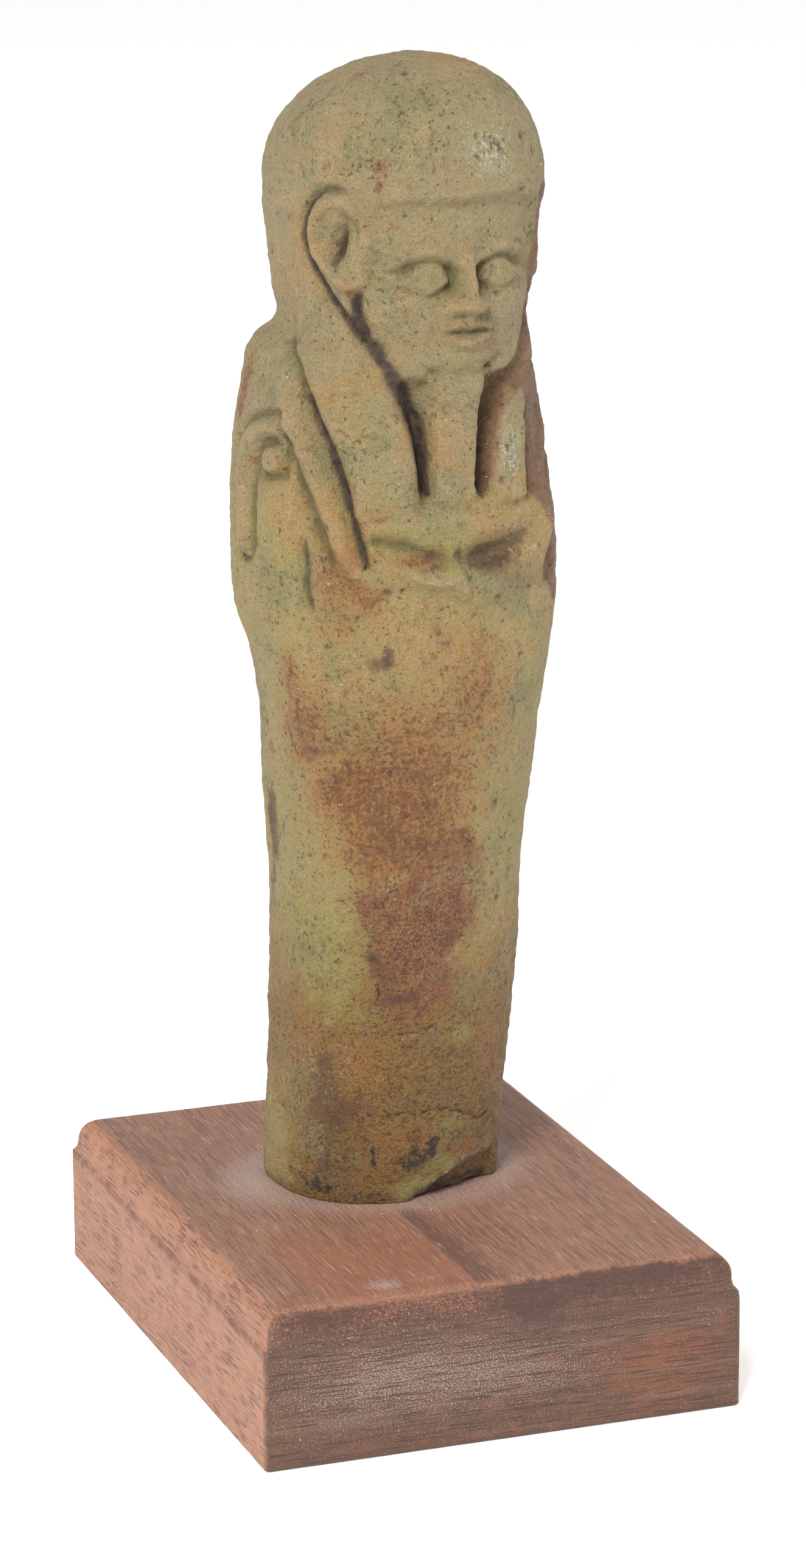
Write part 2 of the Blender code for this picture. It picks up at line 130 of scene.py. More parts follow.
# Cross-sections of the body: height, half width, back depth, centre forward, front depth
SECTIONS = (
    (0.0, 11.9, 10.3, 0.4, 10.3),
    (6.0, 12.0, 10.4, 1.0, 10.4),
    (12.0, 12.1, 10.4, 1.6, 10.4),
    (19.0, 12.4, 10.5, 2.4, 10.5),
    (25.0, 12.6, 10.6, 2.9, 10.6),
    (32.0, 12.6, 10.8, 3.0, 10.8),
    (38.0, 13.1, 11.0, 3.1, 10.9),
    (45.0, 13.8, 11.2, 3.6, 11.0),
    (50.0, 14.2, 11.4, 4.0, 11.2),
    (55.0, 15.0, 11.6, 4.2, 11.4),
    (57.6, 15.6, 11.6, 3.9, 11.7),
    (60.1, 16.3, 11.6, 3.2, 11.9),
    (62.6, 16.7, 11.6, 2.7, 12.1),
    (67.6, 16.7, 11.5, 2.2, 12.3),
    (72.5, 16.4, 11.3, 1.5, 12.4),
    (77.5, 15.8, 11.2, 0.9, 12.4),
    (82.4, 15.0, 11.0, 0.8, 12.5),
    (85.0, 14.4, 11.1, 0.8, 13.4),
    (87.0, 14.0, 11.3, 1.1, 14.5),
    (88.2, 13.3, 11.4, 1.9, 13.9),
    (89.2, 12.4, 11.6, 3.2, 12.7),
    (93.3, 12.3, 12.1, 3.6, 12.5),
    (96.0, 12.6, 12.3, 3.7, 12.6),
    (100.6, 13.1, 12.5, 3.5, 12.8),
    (103.7, 13.3, 12.6, 3.7, 12.9),
)


def through(keys, values, at):
    """Read a smooth curve that passes through each value at its key."""
    slopes = np.gradient(values, keys)
    left = np.clip(np.searchsorted(keys, at) - 1, 0, len(keys) - 2)
    span = keys[left + 1] - keys[left]
    share = np.clip((at - keys[left]) / span, 0.0, 1.0)
    rise = share * share * (3.0 - 2.0 * share)
    leave = share * (1.0 - share) ** 2 * span * slopes[left]
    arrive = share * share * (share - 1.0) * span * slopes[left + 1]
    return values[left] * (1.0 - rise) + values[left + 1] * rise + leave + arrive


def drawn(points, closed=False, steps=6):
    """Sample a smooth line through points chosen on the skin."""
    points = np.array(points, float)
    if closed:
        points = np.vstack([points, points[:1]])
    keys = np.concatenate([[0.0], np.cumsum(np.hypot(*np.diff(points, axis=0).T))])
    at = np.linspace(0.0, keys[-1], steps * (len(points) - 1) + 1)
    return np.stack([through(keys, points[:, k], at) for k in (0, 1)], axis=1)


def reach(skin, line, widths):
    """Distance of every place on the skin from a line, counted in the line's own half widths."""
    nearest = np.full(skin[0].shape, 1e6)
    for (u0, z0), (u1, z1), width, next_width in zip(line[:-1], line[1:], widths[:-1], widths[1:]):
        run, lift = u1 - u0, z1 - z0
        share = ((skin[0] - u0) * run + (skin[1] - z0) * lift) / max(run * run + lift * lift, 1e-9)
        share = np.clip(share, 0.0, 1.0)
        gap = np.hypot(skin[0] - u0 - share * run, skin[1] - z0 - share * lift)
        nearest = np.minimum(nearest, gap / (width + share * (next_width - width)))
    return nearest


def within(skin, outline):
    """Say which places on the skin lie inside a closed outline."""
    result = np.zeros(skin[0].shape, bool)
    for (u0, z0), (u1, z1) in zip(outline[:-1], outline[1:]):
        spans = (z0 > skin[1]) != (z1 > skin[1])
        lift = z1 - z0 if abs(z1 - z0) > 1e-9 else 1e-9
        result ^= spans & (skin[0] < u0 + (skin[1] - z0) * (u1 - u0) / lift)
    return result


def ramp(value, start, end):
    """Rise smoothly from 0 at start to 1 at end."""
    share = np.clip((value - start) / (end - start), 0.0, 1.0)
    return share * share * (3.0 - 2.0 * share)


def plateau(skin, points, height, edge):
    """Raise the area inside an outline by a height, with a sloping edge."""
    outline = drawn(points, closed=True)
    gap = reach(skin, outline, np.ones(len(outline)))
    return height * ramp(np.where(within(skin, outline), gap, -gap), -0.5 * edge, 0.5 * edge)


def ridge(skin, points, height, width):
    """Raise a rounded bead along a line, or press a groove where the height is negative.

    A list of half widths, spread evenly from the line's start to its end, lets it swell and taper.
    """
    line = drawn(points)
    known = np.atleast_1d(width)
    widths = np.interp(np.linspace(0.0, 1.0, len(line)), np.linspace(0.0, 1.0, len(known)), known)
    return height * np.exp(-(reach(skin, line, widths) ** 2))


def mound(skin, place, size, height, tilt=0.0):
    """Raise a soft oval swelling, or press a hollow where the height is negative."""
    across = skin[0] - place[0]
    up = skin[1] - place[1]
    turned = across * math.cos(tilt) + up * math.sin(tilt)
    raised = up * math.cos(tilt) - across * math.sin(tilt)
    return height * np.exp(-((turned / size[0]) ** 2) - (raised / size[1]) ** 2)


def mirrored(points):
    """Take points to the other side of the figure."""
    return [(-u, z) for u, z in points]


def face_relief(skin):
    """A calm, plain face on equal thirds: hairline to brow, brow to nose base, nose base to chin."""
    hairline, chin = 102.6, 86.6
    third = (hairline - chin) / 3.0
    brow, nose_base = hairline - third, chin + third
    eye, mouth = brow - 0.34 * third, nose_base - 0.35 * third
    eye_out, eye_half = 4.2, 2.1
    opening = [(-9.4, 102.9), (0.0, 102.9), (8.8, 102.4), (10.2, 99.5), (10.4, 95.0), (9.9, 91.2),
               (8.3, 88.4), (5.0, 86.4), (0.0, 85.8), (-5.4, 86.2), (-8.7, 88.2), (-10.2, 91.2),
               (-10.6, 95.0), (-10.4, 99.5)]
    relief = plateau(skin, opening, -0.7, 1.7)
    relief += ridge(skin, [(-9.6, 103.3), (0.0, 103.4), (9.0, 103.0)], 0.2, 0.55)
    for side in (-1, 1):
        half = (side * skin[0], skin[1])
        relief += mound(half, (eye_out, eye), (3.5, 1.9), -1.45)
        relief += mound(half, (1.7, eye + 0.5), (0.8, 1.5), -0.55)
        relief += mound(half, (eye_out, eye - 0.1), (2.0, 0.95), 1.5)
        lid = [(eye_out - eye_half, eye - 0.35), (eye_out - 0.9, eye + 0.85),
               (eye_out + 0.7, eye + 0.95), (eye_out + eye_half + 0.3, eye - 0.1)]
        relief += ridge(half, lid, 0.85, [0.25, 0.42, 0.42, 0.25])
        lash_line = [(eye_out + eye_half + 0.2, eye - 0.1), (eye_out + eye_half + 2.2, eye - 0.3)]
        relief += ridge(half, lash_line, 0.35, [0.4, 0.2])
        under = [(eye_out - eye_half, eye - 0.4), (eye_out - 0.2, eye - 1.2),
                 (eye_out + eye_half, eye - 0.35)]
        relief += ridge(half, under, 0.65, [0.25, 0.36, 0.25])
        arch = [(1.3, brow - 0.5), (eye_out - 0.6, brow + 0.55), (eye_out + 2.0, brow + 0.4),
                (eye_out + 4.4, brow - 0.8)]
        relief += ridge(half, arch, 0.85, [0.45, 0.75, 0.65, 0.3])
        relief += mound(half, (6.0, nose_base + 0.9), (3.0, 2.6), 0.85)
        relief += mound(half, (1.55, nose_base + 0.8), (0.8, 0.8), 1.35)
        relief += mound(half, (0.9, nose_base - 0.15), (0.5, 0.35), -0.4)
        relief += mound(half, (3.5, mouth), (0.6, 0.7), -0.4)
    bridge = [(0.0, brow + 0.3), (0.0, brow - 2.4)]
    relief += ridge(skin, bridge, 0.9, [1.3, 0.8])
    slope = np.clip((brow - skin[1]) / (brow - nose_base - 0.7), 0.0, 1.0)
    nose = [(0.0, brow - 0.6), (0.0, nose_base + 0.8)]
    relief += ridge(skin, nose, 1.45, [0.8, 0.95, 1.3]) * (0.45 + 1.35 * slope)
    relief += mound(skin, (0.0, mouth), (3.9, 2.1), 0.8)
    upper = [(-3.1, mouth + 0.1), (-1.1, mouth + 0.75), (0.0, mouth + 0.6), (1.1, mouth + 0.75),
             (3.1, mouth + 0.1)]
    relief += ridge(skin, upper, 0.65, [0.28, 0.5, 0.5, 0.28])
    lower = [(-2.4, mouth - 0.5), (0.0, mouth - 0.95), (2.4, mouth - 0.5)]
    relief += ridge(skin, lower, 0.75, [0.3, 0.62, 0.3])
    parting = [(-3.2, mouth + 0.05), (0.0, mouth - 0.1), (3.2, mouth + 0.05)]
    relief += ridge(skin, parting, -0.55, [0.22, 0.3, 0.22])
    relief += mound(skin, (0.0, mouth - 2.0), (2.0, 0.6), -0.4)
    relief += mound(skin, (0.0, chin + 1.3), (2.7, 1.3), 0.9)
    return relief


def ear_relief(skin, lift):
    """One ear, level with the wig that it cuts into, drawn on the side where girth is positive."""
    shape = [(10.7, 101.5), (12.0, 103.1), (14.4, 103.4), (16.4, 102.2), (17.2, 100.0), (16.8, 97.6),
             (15.4, 95.6), (13.4, 94.2), (11.6, 93.6), (10.8, 94.8), (10.7, 98.0)]
    rim = [(11.3, 101.6), (12.4, 102.6), (14.4, 102.7), (15.9, 101.5), (16.3, 99.6), (15.8, 97.6),
           (14.4, 96.0), (12.7, 94.9), (11.6, 94.5)]
    inner_fold = [(12.0, 101.2), (13.6, 100.9), (14.5, 99.6), (14.2, 97.8), (13.0, 96.4)]
    behind = [(12.6, 103.9), (14.8, 104.1), (16.9, 102.9), (18.1, 100.6), (18.0, 98.0), (16.7, 95.8),
              (15.0, 93.9), (13.0, 92.0), (10.8, 90.0)]
    relief = plateau(skin, shape, 0.3, 0.8)
    relief += ridge(skin, rim, 0.7, 0.62)
    relief += ridge(skin, inner_fold, 0.22, 0.45)
    relief += mound(skin, (12.4, 94.6), (0.9, 0.8), 0.3)
    relief += mound(skin, (13.4, 98.6), (0.95, 2.6), -2.0, tilt=0.3)
    relief += mound(skin, (11.6, 99.6), (0.5, 1.8), -0.7, tilt=0.1)
    relief += ridge(skin, behind, -0.95, [0.15, 0.3, 0.55, 0.6, 0.5, 0.45])
    return relief * lift


def wig_relief(skin):
    """The wig's two lappets, which run down out of its sides, and the grooves that edge them."""
    right_lappet = [(-14.5, 97.0), (-13.4, 94.0), (-10.9, 90.6), (-8.2, 87.6), (-6.2, 85.0),
                    (-4.6, 81.5), (-4.0, 77.5), (-3.9, 73.0), (-7.0, 72.3), (-10.2, 72.0),
                    (-11.0, 75.0), (-11.8, 77.8), (-13.0, 80.6), (-14.6, 83.6), (-17.4, 87.0),
                    (-20.0, 92.0), (-20.0, 97.0)]
    left_lappet = [(13.4, 97.0), (12.6, 93.6), (11.0, 90.4), (8.4, 87.4), (6.4, 84.6), (5.2, 81.0),
                   (4.5, 77.0), (4.0, 72.8), (6.4, 72.3), (8.4, 72.6), (8.8, 76.0), (9.2, 80.0),
                   (9.8, 84.0), (11.4, 88.0), (13.0, 92.0), (14.4, 97.0)]
    relief = plateau(skin, right_lappet, 0.95, 0.9) * ramp(skin[1], 96.0, 86.5)
    relief += plateau(skin, left_lappet, 0.95, 0.9) * ramp(skin[1], 90.0, 82.0)
    jaw_groove = [(11.4, 94.0), (11.2, 92.0), (10.5, 89.8), (8.8, 87.6), (6.5, 84.8), (4.7, 81.8),
                  (3.6, 78.6), (3.2, 76.0), (3.1, 73.9)]
    right_groove = [(-19.4, 88.4), (-17.0, 86.4), (-14.8, 83.4), (-13.2, 80.4), (-12.0, 77.6),
                    (-11.3, 75.0), (-10.6, 72.0), (-10.1, 69.4), (-9.4, 67.2)]
    left_groove = [(14.0, 91.6), (12.0, 88.0), (10.4, 84.0), (9.6, 80.0), (9.3, 76.0), (9.0, 72.8)]
    relief += ridge(skin, mirrored(jaw_groove), -1.15, [0.5, 0.8, 0.8, 1.0, 0.7])
    relief += ridge(skin, jaw_groove, -0.9, 0.8)
    relief += ridge(skin, right_groove, -1.0, [0.4, 0.6, 0.8, 0.85, 0.7, 0.4])
    relief += ridge(skin, left_groove, -0.8, 0.65) * ramp(skin[1], 90.0, 84.0)
    return relief


def beard_relief(skin):
    """The false beard, which grows out of the chin, and the hollows on both sides of it."""
    hollow = [(-3.4, 85.2), (-6.0, 85.0), (-5.4, 82.6), (-4.6, 80.0), (-4.0, 77.0), (-3.6, 73.6),
              (-2.9, 73.8), (-2.8, 77.0), (-3.1, 81.5)]
    beard = [(-2.3, 88.6), (-2.4, 85.0), (-2.5, 80.0), (-2.6, 76.0), (-2.9, 73.2), (-0.4, 72.9),
             (2.4, 73.1), (2.3, 76.0), (2.4, 80.0), (2.6, 85.0), (2.3, 88.6)]
    across = skin[0]
    relief = plateau(skin, hollow, -1.0, 1.1) + plateau((-0.3 - across, skin[1]), hollow, -1.0, 1.1)
    merging = ramp(skin[1], 88.6, 84.0)
    relief += plateau(skin, beard, 1.35, 1.5) * merging * (1.0 - 0.3 * ramp(skin[1], 78.0, 73.2))
    relief += ridge(skin, [(-3.2, 86.0), (0.0, 85.4), (3.2, 86.0)], -0.4, [0.3, 0.55, 0.3])
    return relief


def gear_relief(skin):
    """Tool handle, hoe and bag strap over one shoulder, drawn where girth is positive."""
    handle = [(19.0, 85.6), (17.0, 82.4), (15.4, 79.4), (14.1, 76.4), (13.1, 73.4), (12.2, 70.6),
              (11.3, 68.4), (10.5, 66.8)]
    handle_edge = [(18.0, 80.6), (16.9, 78.0), (15.9, 75.4), (15.0, 73.0), (14.0, 70.4), (12.7, 67.7)]
    sunk = [(17.2, 75.2), (17.4, 78.2), (18.9, 78.6), (20.7, 77.9), (21.7, 76.6), (21.9, 75.2)]
    knob = [(17.9, 76.0), (17.9, 77.9), (20.5, 77.7), (20.5, 75.9)]
    strap = [(17.8, 80.2), (19.4, 80.1), (21.6, 79.5), (23.4, 78.0), (24.2, 75.4), (24.5, 72.0),
             (24.5, 68.6)]
    strap_edge = [(17.8, 81.5), (19.6, 81.4), (22.2, 80.7), (24.8, 79.2), (26.2, 76.6), (26.5, 72.0),
                  (26.3, 68.6), (25.3, 66.8), (23.9, 66.8), (23.0, 68.2), (22.6, 71.6), (22.4, 74.4),
                  (22.1, 76.4), (20.9, 78.2), (19.0, 79.0), (17.4, 79.0)]
    relief = ridge(skin, handle, 1.0, 1.15)
    relief += ridge(skin, handle_edge, -0.95, [0.3, 0.5, 0.6, 0.6, 0.4])
    relief += plateau(skin, sunk, -0.8, 0.6) + plateau(skin, knob, 1.15, 0.6)
    relief += ridge(skin, strap, 0.65, 1.2)
    relief += ridge(skin, strap_edge, -0.85, 0.5)
    return relief


def arms_relief(skin):
    """Crossed forearms and worn fists under the lappets."""
    upper_arm = [(-9.0, 71.2), (-4.0, 71.1), (2.0, 70.6), (7.0, 70.6), (10.4, 71.2)]
    between = [(-8.6, 69.5), (-5.4, 68.7), (-2.6, 67.6), (0.2, 67.3)]
    lower_arm = [(-9.4, 66.9), (-6.0, 66.3), (-2.8, 65.5), (-0.4, 65.2)]
    left_elbow = [(3.4, 64.6), (7.0, 65.6), (9.8, 67.2), (11.2, 69.0)]
    relief = ridge(skin, upper_arm, 0.95, 1.9)
    relief += ridge(skin, between, -0.85, 0.7)
    relief += ridge(skin, lower_arm, 0.8, 1.5)
    relief += ridge(skin, [(-6.8, 67.2), (-4.8, 66.0), (-3.2, 65.3), (-1.4, 65.2)], 0.45, 0.55)
    relief += ridge(skin, [(-0.8, 67.6), (-0.2, 65.8), (0.5, 63.6)], 0.6, [0.7, 0.9, 0.6])
    relief += mound(skin, (3.0, 67.0), (2.4, 1.3), -1.15, tilt=0.3)
    relief += mound(skin, (5.8, 67.6), (2.4, 0.9), -0.7, tilt=0.3)
    fist = [(-15.2, 69.4), (-11.6, 69.9), (-9.6, 67.4), (-8.4, 64.6), (-10.2, 62.6), (-14.4, 62.8)]
    relief += plateau(skin, fist, 0.5, 1.3)
    relief += ridge(skin, [(-9.6, 72.6), (-6.6, 73.2), (-3.6, 73.0)], -0.35, 0.45)
    relief += ridge(skin, left_elbow, 0.75, 2.0)
    relief += ridge(skin, [(14.0, 76.6), (13.8, 72.0), (13.9, 67.6), (13.3, 63.4)], -0.45, 0.7)
    fist_edge = [(-15.7, 69.6), (-15.8, 67.4), (-15.7, 65.2), (-15.2, 63.0)]
    relief += ridge(skin, fist_edge, -0.65, [0.25, 0.6, 0.5, 0.3])
    under_arms = [(-12.4, 62.4), (-6.0, 60.6), (0.0, 60.2), (6.0, 61.0), (12.0, 63.2)]
    relief += ridge(skin, under_arms, -0.35, 2.6)
    return relief


def chip_outline():
    """The slanting chip at the broken lower edge, at the figure's left."""
    return [(-2.6, -3.0), (-1.8, 0.5), (0.2, 1.1), (2.0, 1.9), (3.6, 2.9), (5.6, 3.2), (7.2, 3.4),
            (8.4, 2.6), (9.0, 1.2), (9.4, -3.0)]


def break_relief(skin):
    """The chipped and crumbled edge of the break."""
    relief = plateau(skin, chip_outline(), -1.15, 1.5) * (0.55 + 0.45 * ramp(skin[1], 3.0, 0.0))
    relief += ridge(skin, [(-0.8, 1.1), (2.2, 2.6), (5.4, 3.6), (7.8, 3.5)], 0.2, 0.4)
    relief += plateau(skin, [(-40.0, -0.8), (-17.0, 0.6), (-8.0, 0.4), (-1.0, -0.8)], -0.3, 0.8)
    return relief


def crack_lines():
    """Fine cracks across the shins, each as points and a half width."""
    return (
        ([(-1.9, 9.3), (-0.6, 9.55), (0.4, 9.4), (1.6, 9.0), (2.4, 8.9), (3.4, 8.3), (4.2, 8.0), (5.4, 7.3),
          (7.2, 7.6)], 0.09),
        ([(-6.2, 9.2), (-5.2, 9.1), (-4.2, 9.6), (-3.2, 9.5), (-2.4, 9.0), (-1.6, 8.7), (-0.9, 8.0)], 0.07),
        ([(-5.2, 18.3), (-4.2, 18.5), (-3.2, 18.3), (-2.2, 18.7), (-0.8, 18.9)], 0.075),
        ([(-7.4, 23.6), (-7.3, 22.4)], 0.13),
    )


def wear_relief(skin):
    """Cracks, knocks and dull swellings that age has given the surface."""
    relief = np.zeros(skin[0].shape)
    for points, half_width in crack_lines():
        relief += ridge(skin, points, -0.22, 2.0 * half_width)
    for place, size, height in (
            ((-10.4, 24.6), (1.5, 1.3), -0.25), ((-16.6, 45.2), (0.5, 0.5), -0.3),
            ((0.2, 28.2), (0.8, 0.6), -0.28), ((5.0, 41.5), (0.4, 0.6), -0.3),
            ((-4.0, 61.4), (1.0, 0.9), -0.3), ((-7.6, 57.6), (2.2, 1.0), -0.25),
            ((16.0, 87.6), (5.0, 3.6), -0.9), ((15.6, 81.0), (4.0, 3.6), -0.5),
            ((-20.0, 111.5), (7.0, 3.5), 0.6), ((2.6, 62.8), (2.4, 1.8), 0.4)):
        relief += mound(skin, place, size, height)
    chance = np.random.default_rng(SEED)
    girth_limit = float(skin[0].max())
    for _ in range(KNOCKS):
        place = (chance.uniform(-girth_limit, girth_limit), chance.uniform(2.0, 112.0))
        size = (chance.uniform(0.35, 0.9), chance.uniform(0.35, 0.9))
        relief += mound(skin, place, size, -chance.uniform(0.06, 0.2), tilt=chance.uniform(0.0, 3.0))
    return relief


def carving(skin):
    """Everything that stands out of or is cut into the plain body."""
    other_side = (-skin[0], skin[1])
    relief = face_relief(skin) + wig_relief(skin) + beard_relief(skin)
    relief += arms_relief(skin) + break_relief(skin) + wear_relief(skin)
    relief += ear_relief(skin, 0.5 * LEFT_SIDE_LEFT) + ear_relief(other_side, 1.0)
    relief += gear_relief(skin) * LEFT_SIDE_LEFT + gear_relief(other_side)
    return soften(relief, EDGE_WEAR)


def section_outline(angles, width, back, front):
    """Distance of a section's edge from its centre, at each angle from straight ahead."""
    depth = np.where(np.cos(angles) > 0.0, front, back)
    power = np.where(np.cos(angles) > 0.0, FRONT_SQUARENESS, BACK_SQUARENESS)
    across = np.abs(np.sin(angles) / width) ** power
    along = np.abs(np.cos(angles) / depth) ** power
    return (across + along) ** (-1.0 / power)


def plain_body():
    """Lay out the uncarved body, row by row from the break to the crown."""
    keys = np.array([row[0] for row in SECTIONS])
    climb = np.linspace(0.0, 0.5 * math.pi, CROWN_ROWS + 1)[1:]
    crown = CROWN_START + (HEIGHT_PARTS - CROWN_START) * np.sin(climb) ** (2.0 / CROWN_ROUNDNESS)
    body = [np.linspace(low, high, rows, endpoint=False) for low, high, rows in SKIN_ROWS]
    height = np.concatenate([*body, [CROWN_START], crown])[:, None]
    shrink = np.ones_like(height)
    shrink[-CROWN_ROWS:, 0] = np.cos(climb) ** (2.0 / CROWN_ROUNDNESS)
    shrink[-1] = 0.0
    turn = np.linspace(-1.0, 1.0, SKIN_COLUMNS + 1)[None, :]
    angles = math.pi * (FRONT_CROWDING * turn + (1.0 - FRONT_CROWDING) * turn ** 3)
    width, back, forward, front = (
        through(keys, np.array([row[k] for row in SECTIONS]), height) for k in (1, 2, 3, 4))
    edge = section_outline(angles, width, back, front)
    steps = np.hypot(np.diff(edge * np.sin(angles), axis=1), np.diff(edge * np.cos(angles), axis=1))
    girth = np.concatenate([np.zeros_like(height), np.cumsum(steps, axis=1)], axis=1)
    girth -= girth[:, SKIN_COLUMNS // 2][:, None]
    height = np.broadcast_to(height, girth.shape)
    forward = forward + CROWN_LEAN * ramp(height, CROWN_START, HEIGHT_PARTS) ** 2
    return angles, edge, shrink, forward, (girth, height)


def soften(values, passes):
    """Average every place of the rolled skin with its neighbours, several times over."""
    for _ in range(passes):
        padded = np.pad(values, ((1, 1), (0, 0)), mode="edge")
        beside = np.roll(values, 1, axis=1) + np.roll(values, -1, axis=1)
        values = 0.25 * (padded[:-2] + padded[2:] + beside) * 0.5 + 0.5 * values
    return values


